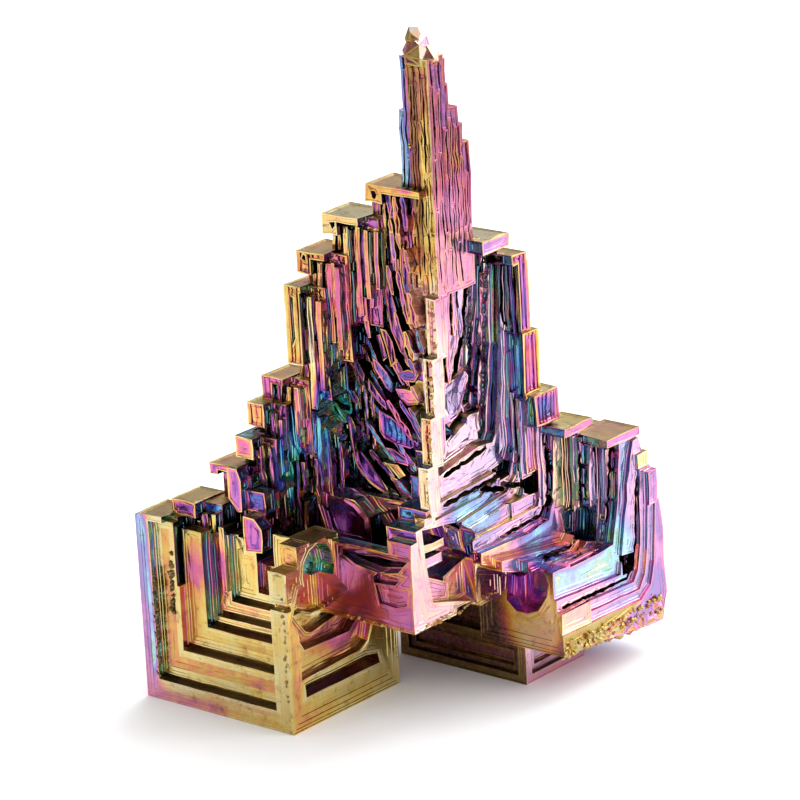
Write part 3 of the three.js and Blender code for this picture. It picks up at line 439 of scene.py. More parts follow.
def wandering(points, chance, stride=0.5, sway=0.09):
    """A line through the points with a vertex at every stride, each moved a little."""
    path = []
    for (a0, z0), (a1, z1) in zip(points, points[1:]):
        count = max(int(math.hypot(a1 - a0, z1 - z0) / stride), 1)
        for i in range(count):
            part = i / count
            path.append((a0 + (a1 - a0) * part + chance.uniform(-sway, sway), z0 + (z1 - z0) * part))
    return path + [points[-1]]


def right_grooves(chance):
    for plane, width, points in RIGHT_GROOVES:
        outline = ribbon(wandering(points, chance), width, chance, wander=0.2)
        yield outline, plane - GROOVE_DEPTH, plane + GROOVE_CLEARANCE, "x"


# Ribs that hang from the spire down the right bowl, each shorter and deeper in: y, outer plane, foot.
FLANK_RIBS = [
    (6.9, -0.5, 27.5), (7.7, -1.0, 31.0), (8.5, -0.7, 34.5), (9.3, -1.5, 37.0), (10.1, -1.1, 39.0),
    (10.9, -1.9, 40.5), (11.7, -1.5, 41.5), (12.5, -2.3, 38.0),
]
FLANK_RIB_WIDTH = 0.58
FLANK_TOP = 46.0
FLANK_ROOT = -3.7

# The panel behind them, in y and z, and the planes that it fills.
FLANK_PANEL = [
    (6.5, 46.0), (13.2, 46.0), (12.9, 41.5), (11.8, 37.4), (10.4, 34.6), (9.0, 32.6), (7.3, 30.4),
    (6.6, 31.0),
]
FLANK_PANEL_PLANES = (-3.75, -2.35)


def flank_ribs(chance):
    for y, plane, foot in FLANK_RIBS:
        line = [(y, FLANK_TOP), (y - 0.1, (FLANK_TOP + foot) / 2), (y - 0.3, foot)]
        path = wandering(line, chance, stride=0.9, sway=0.07)
        yield ribbon(path, FLANK_RIB_WIDTH, chance, wander=0.12, taper=0.4), FLANK_ROOT, plane, "x"


# Grooves down the spire: axis, range across, plane, foot and top.
SPIRE_GROOVES = [
    ("y", (-3.2, -0.2), 6.4, 44.6, 67.0), ("y", (-4.1, -3.5), 6.8, 46.0, 62.0),
    ("x", (6.8, 8.3), 0.0, 44.8, 66.4), ("x", (8.6, 10.4), 0.0, 44.8, 61.8),
    ("x", (10.7, 11.9), 0.0, 45.0, 57.8),
]

# How deep, wide, long and far apart those grooves are, and how unevenly they start and lean.
SPIRE_GROOVE_DEPTHS = (0.2, 0.45)
SPIRE_GROOVE_WIDTHS = (0.13, 0.26)
SPIRE_GROOVE_LENGTHS = (4, 12)
SPIRE_GROOVE_BREAKS = (0.3, 1.2)
SPIRE_GROOVE_PITCH = (0.5, 0.85)
SHORTEST_SPIRE_GROOVE = 3
SPIRE_CLEARANCE = 0.5
SPIRE_GROOVE_INSET = 0.15
SPIRE_GROOVE_TOPS = (0.2, 2.5)
SPIRE_GROOVE_LEAN = 0.12


def spire_grooves(chance):
    for axis, (low, high), plane, foot, top in SPIRE_GROOVES:
        across = low + SPIRE_GROOVE_INSET
        while across < high:
            z = top - chance.uniform(*SPIRE_GROOVE_TOPS)
            while z > foot + SHORTEST_SPIRE_GROOVE:
                end = max(foot, z - chance.uniform(*SPIRE_GROOVE_LENGTHS))
                lean = chance.uniform(-SPIRE_GROOVE_LEAN, SPIRE_GROOVE_LEAN)
                path = wandering([(across, z), (across + lean, end)], chance, stride=0.8, sway=0.05)
                deep = chance.uniform(*SPIRE_GROOVE_DEPTHS)
                before, after = (SPIRE_CLEARANCE, deep) if axis == "y" else (deep, SPIRE_CLEARANCE)
                outline = ribbon(path, chance.uniform(*SPIRE_GROOVE_WIDTHS), chance, wander=0.2)
                yield outline, plane - before, plane + after, axis
                z = end - chance.uniform(*SPIRE_GROOVE_BREAKS)
            across += chance.uniform(*SPIRE_GROOVE_PITCH)


# Small pits in the fronts of the caps: front plane and outline in x and z.
CAP_PITS = [
    (5.5, [(-7.4, 54.2), (-6.9, 54.3), (-6.6, 53.9), (-6.8, 53.4), (-7.2, 53.5)]),
    (4.5, [(-12.3, 50.6), (-11.4, 50.7), (-11.5, 50.2), (-11.9, 49.8)]),
    (3.5, [(-15.2, 46.6), (-14.7, 46.4), (-14.7, 47.0), (-15.0, 47.1)]),
    (2.5, [(-16.4, 42.8), (-15.9, 42.6), (-15.9, 38.4), (-16.3, 37.6)]),
]
CAP_PIT_DEPTH = 0.45
CAP_PIT_CLEARANCE = 0.5


def cap_pits():
    for front, outline in CAP_PITS:
        yield outline, front - CAP_PIT_CLEARANCE, front + CAP_PIT_DEPTH, "y"


# The solid as a closed mesh, in the crystal's own measures.
WELD = 0.002
FLAT_ANGLE = math.radians(0.15)
LONGEST_EDGE = 2.0
CLEAR_OF_FLOOR = 1.0

# The spire's facets are cut here, because the oxide changes at its foot.
SPIRE_FOOT = 50.13


def plain_faces(body):
    """Joins the faces that lie in one plane, and drops the points left over on straight edges."""
    bmesh.ops.remove_doubles(body, verts=body.verts, dist=WELD)
    bmesh.ops.dissolve_limit(body, angle_limit=FLAT_ANGLE, verts=body.verts, edges=body.edges)
    body = in_order(body)
    bmesh.ops.triangulate(body, faces=[f for f in body.faces if len(f.verts) > 4])
    return in_order(body)


def crystal_body():
    body = bmesh.new()
    body.from_mesh(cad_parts[NODE].data)
    bmesh.ops.transform(body, verts=body.verts, matrix=Matrix.Scale(1 / MM, 4))
    bmesh.ops.translate(body, verts=body.verts, vec=-HOME)
    bmesh.ops.remove_doubles(body, verts=body.verts, dist=WELD)
    body = in_order(body)
    chance = random.Random(SEED + 2)
    added = [
        left_blades(chance, 0), left_blades(chance, 1), left_ribs(chance),
        [(FLANK_PANEL, *FLANK_PANEL_PLANES, "x")], flank_ribs(chance),
    ]
    removed = [right_grooves(chance), spire_grooves(chance), cap_pits()]
    removed += [panel_step(number) for number in range(PANEL_STEPS)]
    for plates in added:
        body = combined(body, plates, "UNION")
    for plates in removed:
        body = combined(body, plates, "DIFFERENCE")
    body = plain_faces(body)
    everything = body.verts[:] + body.edges[:] + body.faces[:]
    bmesh.ops.bisect_plane(body, geom=everything, plane_co=(0, 0, SPIRE_FOOT), plane_no=(0, 0, 1))
    body = in_order(body)
    divide_long_edges(body)
    return in_order(body)


def divide_long_edges(body):
    """Puts points on the long edges that are seen, so that they can wander."""
    by_count = {}
    for edge in body.edges:
        faces = edge.link_faces
        if len(faces) != 2 or faces[0].normal.dot(faces[1].normal) > SAME_PLANE:
            continue
        seen = any(facing(f.normal) in (LEFT, RIGHT) for f in faces) and edge.verts[0].co.z > CLEAR_OF_FLOOR
        count = int(edge.calc_length() / LONGEST_EDGE)
        if seen and count:
            by_count.setdefault(count, []).append(edge)
    for count, edges in sorted(by_count.items()):
        bmesh.ops.bisect_edges(body, edges=edges, cuts=count)


# Facets: connected faces that lie in one plane.

SAME_LEVEL = 0.004


def in_same_facet(face, other, plane, origin):
    """Whether a neighbour lies in the facet's plane, on the same side of the spire's foot."""
    level = max(abs((v.co - origin).dot(plane)) for v in other.verts)
    if (face.calc_center_median().z > SPIRE_FOOT) != (other.calc_center_median().z > SPIRE_FOOT):
        return False
    return other.normal.dot(plane) > SAME_PLANE and level < SAME_LEVEL


def flat_facets(body):
    facets, taken = [], set()
    for seed in sorted(body.faces, key=lambda f: -f.calc_area()):
        if seed in taken:
            continue
        taken.add(seed)
        plane, origin = seed.normal.copy(), seed.verts[0].co.copy()
        faces, queue = [seed], [seed]
        while queue:
            face = queue.pop()
            for other in (f for edge in face.edges for f in edge.link_faces):
                if other not in taken and in_same_facet(face, other, plane, origin):
                    taken.add(other)
                    faces.append(other)
                    queue.append(other)
        facets.append((plane, faces))
    return facets


class Facet:
    """A flat facet with its border in its own two axes, across and up."""

    def __init__(self, plane, faces):
        self.normal = plane
        up = Vector((0, 0, 1)) if abs(plane.z) < LEVEL else Vector((0, 1, 0))
        self.across = up.cross(plane).normalized()
        self.up = plane.cross(self.across).normalized()
        inside = set(faces)
        self.corners, self.number = [], {}
        starts, ends = [], []
        for face in faces:
            for loop in face.loops:
                if any(f is not face and f in inside for f in loop.edge.link_faces):
                    continue
                starts.append(self._corner(loop.vert))
                ends.append(self._corner(loop.link_loop_next.vert))
        self.origin = self.corners[0].co.copy()
        flat = np.array([self.flat(v.co) for v in self.corners])
        self.starts, self.ends, self.points = starts, ends, flat
        self.a = flat[starts]
        run = flat[ends] - self.a
        self.length = np.maximum(np.hypot(run[:, 0], run[:, 1]), 1e-9)
        self.along = run / self.length[:, None]
        self.inward = np.stack([-self.along[:, 1], self.along[:, 0]], 1)
        self.reach_start, self.reach_end = self._mitres()

    def _corner(self, vert):
        if vert not in self.number:
            self.number[vert] = len(self.corners)
            self.corners.append(vert)
        return self.number[vert]

    def flat(self, point):
        offset = point - self.origin
        return offset.dot(self.across), offset.dot(self.up)

    def place(self, point, depth=0.0):
        return self.origin + self.across * point[0] + self.up * point[1] - self.normal * depth

    def _mitres(self):
        """How far each border's strip runs on at its ends, per unit of width: only at hollow corners."""
        count = len(self.starts)
        at_start, at_end = np.zeros(count), np.zeros(count)
        leaving = {start: i for i, start in enumerate(self.starts)}
        for i, end in enumerate(self.ends):
            j = leaving.get(end)
            if j is None:
                continue
            d, e = self.along[i], self.along[j]
            turn = math.atan2(d[0] * e[1] - d[1] * e[0], d[0] * e[0] + d[1] * e[1])
            if turn < -1e-3:
                mitre = min(math.tan(-turn / 2), LONGEST_MITRE)
                at_end[i] = at_start[j] = mitre
        return at_start, at_end

    def rim_distance(self, points):
        """How far each point lies from the nearest border, measured square to that border."""
        offset = points[:, None, :] - self.a[None]
        along = (offset * self.along[None]).sum(2)
        depth = (offset * self.inward[None]).sum(2)
        fits = (depth > -NEAR) & (along >= -depth * self.reach_start - NEAR)
        fits &= along <= self.length + depth * self.reach_end + NEAR
        return np.where(fits, depth, FARTHEST).min(1)

    def holds(self, points):
        """Whether each point is inside the border."""
        x, y = points[:, 0][:, None], points[:, 1][:, None]
        ax, ay = self.a[:, 0][None], self.a[:, 1][None]
        bx, by = ax + self.along[:, 0] * self.length, ay + self.along[:, 1] * self.length
        crosses = (ay > y) != (by > y)
        with np.errstate(divide="ignore", invalid="ignore"):
            left = x < (bx - ax) * (y - ay) / (by - ay) + ax
        return (crosses & left).sum(1) % 2 == 1

    def clear_stretches(self, base, heading, low, high, width):
        """The stretches of each line that keep the given distance from every border."""
        offset = base[:, None, :] - self.a[None]
        along0, depth0 = (offset * self.along).sum(2), (offset * self.inward).sum(2)
        along1, depth1 = heading @ self.along.T, heading @ self.inward.T
        limits = [
            (depth0 - NEAR, depth1),
            (width - NEAR - depth0, -depth1),
            (along0 + depth0 * self.reach_start + NEAR, along1 + depth1 * self.reach_start),
            (self.length + depth0 * self.reach_end - along0 + NEAR, depth1 * self.reach_end - along1),
        ]
        start, stop = np.full(along0.shape, -FAR), np.full(along0.shape, FAR)
        for constant, slope in limits:
            with np.errstate(divide="ignore", invalid="ignore"):
                crossing = -constant / slope
            rising, falling = slope > 1e-9, slope < -1e-9
            start = np.where(rising, np.maximum(start, crossing), start)
            stop = np.where(falling, np.minimum(stop, crossing), stop)
            stop = np.where(~rising & ~falling & (constant <= 0), -10 * FAR, stop)
        stretches = []
        for i in range(len(base)):
            blocked = sorted((s, e) for s, e in zip(start[i], stop[i]) if e > s)
            at = low[i]
            for s, e in blocked + [(high[i], high[i])]:
                if min(s, high[i]) - at > SHORTEST_LINE:
                    stretches.append((base[i] + heading[i] * at, base[i] + heading[i] * min(s, high[i])))
                at = max(at, e)
                if at >= high[i]:
                    break
        if not stretches:
            return []
        middles = np.array([(s + e) / 2 for s, e in stretches])
        keep = self.holds(middles)
        return [stretch for stretch, kept in zip(stretches, keep) if kept]

    def row(self, distance):
        """The border moved inwards."""
        low, high = -distance * self.reach_start, self.length + distance * self.reach_end
        return self.clear_stretches(self.a + self.inward * distance, self.along, low, high, distance)

    def uprights(self, places, distance):
        """Upright lines at these places across the facet, kept clear of its border."""
        low, high = self.points[:, 1].min(), self.points[:, 1].max()
        base = np.array([(place, 0.0) for place in places])
        heading = np.tile((0.0, 1.0), (len(places), 1))
        count = len(places)
        return self.clear_stretches(base, heading, np.full(count, low), np.full(count, high), distance)


# Upright flutes: grooves between the ribs of a facet, each with its own width and depth.

FLUTE_WIDTHS = (0.16, 0.42)
FLUTE_DEPTHS = (0.08, 0.24)
FLUTE_GAPS = (0.18, 0.55)
FLUTE_MARGIN, FIRST_FLUTE = 0.15, 0.5


def flutes_across(facet, chance):
    low, high = facet.points[:, 0].min(), facet.points[:, 0].max()
    place, flutes = low + chance.uniform(FLUTE_MARGIN, FIRST_FLUTE), []
    while place < high - FLUTE_MARGIN:
        width = chance.uniform(*FLUTE_WIDTHS)
        flutes.append((place, place + width, chance.uniform(*FLUTE_DEPTHS)))
        place += width + chance.uniform(*FLUTE_GAPS)
    return flutes


def flute_depth(across, flutes):
    depth = np.zeros(len(across))
    for start, stop, deep in flutes:
        run = np.minimum(across - start, stop - across)
        depth = np.maximum(depth, deep * np.clip(run / STEP_RUN, 0, 1))
    return depth


# Fluted facets: their facing, and the range of x, y and z of their middle.
FLUTED = [
    (LEFT, (-31, 0), (-9, 10), (28, 56)),
    (LEFT, (-4, 8), (11, 32), (13, 50)),
    (RIGHT, (-5, 1), (5, 13), (44, 66)),
    (RIGHT, (-2, 6), (16.2, 28), (22, 48)),
    (LEFT, (-5, 1), (5, 13), (44, 66)),
]
SMALLEST_FLUTED = (0.8, 2.2)


def is_fluted(facet, side, middle):
    size = facet.points.max(0) - facet.points.min(0)
    if size[0] < SMALLEST_FLUTED[0] or size[1] < SMALLEST_FLUTED[1]:
        return False
    return any(side == its_side and within(middle, ranges) for its_side, *ranges in FLUTED)


STEP_COUNTS = {LEFT: 4, RIGHT: 4, TOP: 2}
NARROW = 1.1
SMALL_FACET = 1.6
LEVEL_DEPTH = 0.6


def steps_for(facet, side):
    """The growth steps that a facet gets: most where it is seen from the front, fewer elsewhere."""
    deep = LEVEL_DEPTH if side in (TOP, BELOW) else 1.0
    size = facet.points.max(0) - facet.points.min(0)
    count = STEP_COUNTS.get(side, 1)
    if min(size) < NARROW:
        count = 1 if side in STEP_COUNTS else 0
    if side != LEFT and size[0] * size[1] < SMALL_FACET:
        count = 0
    return [(distance, depth * deep) for distance, depth in GROWTH_STEPS[:count]]


# Dividing a facet: its one line where it has no step, where its flutes start, how near its border a
# point may lie, and how often it is tried with fewer lines.
PLAIN_RIM = 0.07
FLUTES_START = GROWTH_STEPS[0][0] + STEP_RUN + 0.04
FLUTES_RAMP = 0.03
CLEAR_OF_BORDER = 0.01
CUT_TRIES = 6


def step_lines(facet, side):
    """The lines of a facet's growth steps, and the steps that it has room for."""
    lines, steps = [], []
    for distance, depth in steps_for(facet, side):
        inner = facet.row(distance + STEP_RUN)
        if not inner:
            break
        lines += facet.row(distance) + inner
        steps.append((distance, depth))
    return lines, steps


def flute_lines(facet, flutes):
    edges = sorted(e for s, t, _ in flutes for e in (s, s + STEP_RUN, t - STEP_RUN, t))
    uprights = facet.uprights(edges, FLUTES_START)
    return uprights + facet.row(FLUTES_START) if uprights else []


def step_depth(distance, steps):
    depth, last = np.zeros(len(distance)), 0.0
    for reach, deep in steps:
        depth += (deep - last) * np.clip((distance - reach) / STEP_RUN, 0, 1)
        last = deep
    return depth


def cleanly_divided(facet, lines):
    """The facet divided along its lines, less the lines that would leave a point on its border."""
    for _ in range(CUT_TRIES):
        spots, triangles, corner_of, lines_at = divide(facet, lines)
        if not len(triangles):
            return None
        distance = facet.rim_distance(spots)
        for i in corner_of:
            distance[i] = 0.0
        poor = [i for i in set(triangles.ravel()) if i not in corner_of and distance[i] < CLEAR_OF_BORDER]
        if not poor:
            return spots, triangles, corner_of, distance
        dropped = set().union(*(lines_at.get(i, set()) for i in poor))
        if not dropped:
            return None
        lines = [line for i, line in enumerate(lines) if i not in dropped]
    return None


def cut_facet(facet, side, chance, fluted):
    """A facet along its steps and flutes: points, triangles, corners, rim distance, depth and flutes."""
    lines, steps = step_lines(facet, side)
    if not steps:
        if side != LEFT:
            return None
        lines = facet.row(PLAIN_RIM)
    flutes = flutes_across(facet, chance) if fluted and steps else []
    if flutes:
        lines += flute_lines(facet, flutes)
    divided = cleanly_divided(facet, lines)
    if divided is None:
        return None
    spots, triangles, corner_of, distance = divided
    depth = step_depth(distance, steps)
    if flutes:
        sunk = np.clip((distance - FLUTES_START + FLUTES_RAMP) / FLUTES_RAMP, 0, 1)
        depth += sunk * flute_depth(spots[:, 0], flutes)
    return spots, triangles, corner_of, distance, depth, flutes


def on_inside(triangle, forward, middle_inside):
    """Whether a triangle is inside: at the border by the border's direction, elsewhere by its middle."""
    a, b, c = triangle
    turns = ((a, b), (b, c), (c, a))
    if any(turn in forward for turn in turns):
        return True
    if any(turn[::-1] in forward for turn in turns):
        return False
    return bool(middle_inside)


def divide(facet, lines):
    """A facet along these lines: points, triangles, which points are corners, the lines at each."""
    points = [Vector(p) for p in facet.points]
    borders = list(zip(facet.starts, facet.ends))
    first, cuts = len(borders), []
    for start, stop in lines:
        cuts.append((len(points), len(points) + 1))
        points += [Vector(start), Vector(stop)]
    flat, edges, faces, origins, edge_origins, _ = delaunay_2d_cdt(points, borders + cuts, [], 0, NEAR)
    spots = np.array([tuple(p) for p in flat])
    triangles = np.array([t for t in faces if len(t) == 3], dtype=int).reshape(-1, 3)
    at = {corner: i for i, origin in enumerate(origins) for corner in origin if corner < len(facet.corners)}
    forward = {(at[start], at[end]) for start, end in borders if start in at and end in at}
    if len(triangles):
        middles = facet.holds(spots[triangles].mean(1))
        inside = [on_inside(t, forward, middle) for t, middle in zip(triangles.tolist(), middles)]
        triangles = triangles[inside]
    corner_of = {i: corner for corner, i in at.items()}
    lines_at = {}
    for edge, sources in zip(edges, edge_origins):
        for source in sources:
            if source >= first:
                for i in edge:
                    lines_at.setdefault(i, set()).add(source - first)
    return spots, triangles, corner_of, lines_at


def step_numbers(distance):
    reaches = np.array([reach for reach, _ in GROWTH_STEPS])
    return (distance[:, None] > reaches[None] + STEP_RUN / 2).sum(1)


# From the rim inwards: how far the film goes on changing, its jump at each step, the most and least of that
# reach, the curve of the change, how much of its facet's shift the rim takes, and what a flute adds.
FILM_REACH = (0.35, 0.9)
FILM_JUMPS = (-0.04, 0.07)
REACH_OF_WIDTH = 0.75
SHORTEST_REACH = 0.05
FILM_CURVE = 0.8
RIM_SHIFT = 0.35
FLUTE_FILM = 0.5
PALE_SPREAD = 0.1
SMALLEST_CUT = 0.05
MOST_BORDERS = 400


def film_values(cut, rim, heart, shift, chance):
    """The film at every point of a cut facet, from its rim to its middle, with a jump at each step."""
    spots, triangles, _, distance, _, flutes = cut
    widest = distance[np.unique(triangles)].max()
    reach = max(min(chance.uniform(*FILM_REACH), REACH_OF_WIDTH * widest), SHORTEST_REACH)
    jumps = np.array([0.0] + [chance.uniform(*FILM_JUMPS) for _ in GROWTH_STEPS])
    inwards = np.clip(distance / reach, 0, 1) ** FILM_CURVE
    value = rim + (heart - rim + shift) * inwards + shift * RIM_SHIFT
    value += jumps[step_numbers(distance)]
    return value + FLUTE_FILM * flute_depth(spots[:, 0], flutes)


class FineShape:
    """The crystal as it is grown, facet by facet; facets share the points at their corners."""

    def __init__(self):
        self.mesh = bmesh.new()
        layer = self.mesh.loops.layers.float.new
        film, tarnish, pale = layer("film"), layer("tarnish"), layer("pale")
        self.layers = (film, pale, tarnish)
        self.shared = {}

    def corner(self, vert):
        if vert not in self.shared:
            self.shared[vert] = self.mesh.verts.new(vert.co)
        return self.shared[vert]

    def colour(self, face, oxide):
        for loop, values in zip(face.loops, oxide):
            for layer, value in zip(self.layers, values):
                loop[layer] = value

    def add_plain(self, faces, side, values):
        for plain in faces:
            face = self.mesh.faces.new([self.corner(v) for v in plain.verts])
            places = np.array([v.co for v in face.verts])
            self.colour(face, patched(side, places, np.tile(values, (len(places), 1))))

    def add_cut(self, facet, cut, oxide):
        spots, triangles, corner_of, _, depth, _ = cut
        own = {}
        for triangle in triangles:
            verts = []
            for i in triangle:
                if i in corner_of:
                    verts.append(self.corner(facet.corners[corner_of[i]]))
                else:
                    if i not in own:
                        own[i] = self.mesh.verts.new(facet.place(spots[i], depth[i]))
                    verts.append(own[i])
            if len(set(verts)) == 3 and not self.mesh.faces.get(verts):
                self.colour(self.mesh.faces.new(verts), oxide[triangle])


def grow_detail(body):
    """The crystal with every facet stepped, fluted and given its film thickness."""
    fine = FineShape()
    chance = random.Random(SEED)
    for plane, faces in flat_facets(body):
        facet = Facet(plane, faces)
        side = facing(plane)
        area = sum(f.calc_area() for f in faces)
        middle = sum((f.calc_center_median() * f.calc_area() for f in faces), Vector()) / max(area, 1e-9)
        rim, heart, spread, tarnish, pale = oxide_of(side, middle)
        can_cut = area > SMALLEST_CUT and len(facet.starts) < MOST_BORDERS
        cut = cut_facet(facet, side, chance, is_fluted(facet, side, middle)) if can_cut else None
        shift = chance.gauss(0, spread)
        # Paleness, which carries painted highlight above 0 and painted shade below 0, differs a little from
        # facet to facet.
        pale += chance.gauss(0, PALE_SPREAD)
        if cut is None:
            fine.add_plain(faces, side, ((rim + heart) / 2 + shift, pale, tarnish))
            continue
        film = film_values(cut, rim, heart, shift, chance)
        places = np.array([facet.place(spot) for spot in cut[0]])
        even = np.ones(len(film))
        fine.add_cut(facet, cut, patched(side, places, np.stack([film, even * pale, even * tarnish], 1)))
    bmesh.ops.triangulate(fine.mesh, faces=[f for f in fine.mesh.faces if len(f.verts) > 3])
    return fine.mesh


# Edges of a grown crystal are never quite straight. Those at the table stay put, and those below the
# cube's top wander less than the rest.
STEADY_BELOW = 0.3
CUBE_TOP = 17
SWAY_LOW, SWAY_HIGH = 0.05, 0.12
COARSE, SMALL = 0.55, 1.9
SMALL_SHARE = 0.7
APART = Vector((7, 3, 1))


def limits():
    """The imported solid's box in the crystal's own measures."""
    return [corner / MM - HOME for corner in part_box(NODE)]


def inside_limits(spot, lowest, highest):
    return [min(max(value, low + 0.01), high - 0.01) for value, low, high in zip(spot, lowest, highest)]


def wander(fine):
    noise.seed_set(SEED)  # otherwise noise_vector starts from the clock
    lowest, highest = limits()
    for vert in fine.verts:
        if vert.co.z < STEADY_BELOW:
            continue
        coarse = noise.noise_vector(vert.co * COARSE)
        small = noise.noise_vector(vert.co * SMALL + APART)
        sway = SWAY_LOW if vert.co.z < CUBE_TOP else SWAY_HIGH
        vert.co = inside_limits(vert.co + coarse * sway + small * sway * SMALL_SHARE, lowest, highest)


# How closed in each point is: rays that meet the crystal again nearby, a near meeting counting most.
# The shader darkens closed-in points with it: painted shade in the hollows, partly the teal oxide there.
OPEN_REACH = 9.0
RAY_LIFT = 0.06
RAY_FADE = 0.6
SKY_RAYS = 20
GOLDEN_TURN = 2.399963

# How much of that closeness, and so of the painted shade in the hollows, counts where less than all of it
# does: range of x, y and z, and the share.
OPEN_SHARES = [
    ("cube", (-99, -9.8), (-99, 9.3), (-99, 18), 0.7),
    ("wing cavity", (-1, 6), (14.5, 17.6), (8, 14), 0.7),
    ("under the wing", (1.2, 99), ANY, (-99, 4.9), 0.3),
    ("wing end", (-1, 99), (14.8, 15.5), (-99, 14), 0.4),
    ("niche", (-3.4, 1.3), (1.5, 14.6), (-99, 20.8), 0.62),
    ("green recesses", (-19, -11.8), (-99, 10), (19, 37), 0.62),
]
BLADES_REGION = ((-99, -1.5), ANY, (17, 99))
BLADES_SHARE = 0.82


def sky_directions(chance):
    directions = []
    for i in range(SKY_RAYS):
        height = (i + 0.5) / SKY_RAYS
        turn = i * GOLDEN_TURN + chance.uniform(0, 0.1)
        radius = math.sqrt(1 - height * height)
        directions.append(Vector((radius * math.cos(turn), radius * math.sin(turn), height)))
    return directions


def shade_hollows(fine):
    fine.normal_update()
    tree = BVHTree.FromBMesh(fine)
    directions = sky_directions(random.Random(SEED + 1))
    closed = {}
    for vert in fine.verts:
        normal = vert.normal if vert.normal.length > 0.5 else Vector((0, 0, 1))
        turn = normal.to_track_quat("Z", "Y")
        start = vert.co + normal * RAY_LIFT
        met = 0.0
        for direction in directions:
            hit = tree.ray_cast(start, turn @ direction, OPEN_REACH)
            if hit[0] is not None:
                met += 1.0 - RAY_FADE * hit[3] / OPEN_REACH
        closed[vert] = met / SKY_RAYS
    hollow = fine.loops.layers.float.new("hollow")
    for face in fine.faces:
        forward = facing(face.normal) == LEFT
        for loop in face.loops:
            loop[hollow] = closed[loop.vert] * open_share(loop.vert.co, forward)


def open_share(place, forward):
    for _, *ranges, share in OPEN_SHARES:
        if within(place, ranges):
            return share
    return BLADES_SHARE if forward and within(place, BLADES_REGION) else 1.0


# Shader maths on sockets.

def operator(operation, reflected=False):
    def apply(self, other):
        return self._math(operation, *((other, self) if reflected else (self, other)))
    return apply


class Socket:
    """A shader socket with the arithmetic operators that the materials use."""

    def __init__(self, tree, socket):
        self.tree, self.socket = tree, socket

    def _math(self, operation, a, b, clamp=False):
        node = self.tree.nodes.new("ShaderNodeMath")
        node.operation, node.use_clamp = operation, clamp
        for plug, value in zip(node.inputs, (a, b)):
            join(self.tree, plug, value)
        return Socket(self.tree, node.outputs[0])

    __add__ = __radd__ = operator("ADD")
    __sub__, __rsub__ = operator("SUBTRACT"), operator("SUBTRACT", reflected=True)
    __mul__ = __rmul__ = operator("MULTIPLY")
    __truediv__, __rtruediv__ = operator("DIVIDE"), operator("DIVIDE", reflected=True)

    def clamped(self):
        return self._math("ADD", self, 0.0, clamp=True)

    def step_up(self, low, high):
        """0 below low, 1 above high, a straight rise between them."""
        return ((self - low) / (high - low)).clamped()


def join(tree, plug, value):
    """Links a socket to a plug, or sets the plug's value."""
    if isinstance(value, Socket):
        tree.links.new(value.socket, plug)
    else:
        plug.default_value = value


class Nodes:
    """The nodes of one material, or of the world."""

    def __init__(self, owner):
        owner.use_nodes = True
        self.tree = owner.node_tree
        self.tree.nodes.clear()

    def node(self, kind, settings=None, inputs=None, output=0):
        node = self.tree.nodes.new(kind)
        for name, value in (settings or {}).items():
            if name == "stops":
                elements = node.color_ramp.elements
                while len(elements) < len(value):
                    elements.new(0.5)
                for element, (place, colour) in zip(elements, value):
                    element.position, element.color = place, colour
            else:
                setattr(node, name, value)
        for name, value in (inputs or {}).items():
            join(self.tree, node.inputs[name], value)
        return Socket(self.tree, node.outputs[output]) if node.outputs else None

    def mix(self, share, a, b):
        return self.node("ShaderNodeMix", {"data_type": "RGBA"}, {0: share, 6: a, 7: b}, 2)

    def attribute(self, name):
        return self.node("ShaderNodeAttribute", {"attribute_name": name}, output=2)

    def noise(self, place, scale, detail, roughness):
        inputs = {"Vector": place, "Scale": scale, "Detail": detail, "Roughness": roughness}
        return self.node("ShaderNodeTexNoise", inputs=inputs)


def rgb(red, green, blue):
    """Screen colour, 0 to 255, as light."""
    values = []
    for part in (red, green, blue):
        part /= 255
        values.append(part / 12.92 if part < 0.04045 else ((part + 0.055) / 1.055) ** 2.4)
    return (*values, 1)


# The colours of the oxide film from thin to thick.
FILM_COLOURS = [
    (0.00, rgb(238, 234, 226)),
    (0.08, rgb(246, 232, 176)),
    (0.16, rgb(240, 206, 108)),
    (0.23, rgb(238, 164, 104)),
    (0.3, rgb(222, 108, 148)),
    (0.39, rgb(200, 116, 186)),
    (0.46, rgb(150, 72, 168)),
    (0.53, rgb(112, 88, 172)),
    (0.6, rgb(88, 116, 190)),
    (0.68, rgb(98, 166, 210)),
    (0.76, rgb(134, 208, 212)),
    (0.83, rgb(104, 184, 156)),
    (0.89, rgb(204, 218, 146)),
    (0.95, rgb(236, 176, 186)),
    (1.00, rgb(220, 160, 214)),
]
TARNISH_DARK = rgb(52, 40, 26)
TARNISH_PALE = rgb(124, 108, 72)
# A pale wash, partly the film's own pale tone and partly painted highlight; a dark teal and a near black,
# painted shade on shaded sides and in hollows, the teal also standing for the thick oxide of the hollows.
WASH_AND_HIGHLIGHT = rgb(236, 214, 232)
TEAL_SHADE = rgb(6, 34, 32)
DEEP_SHADE = rgb(3, 5, 6)


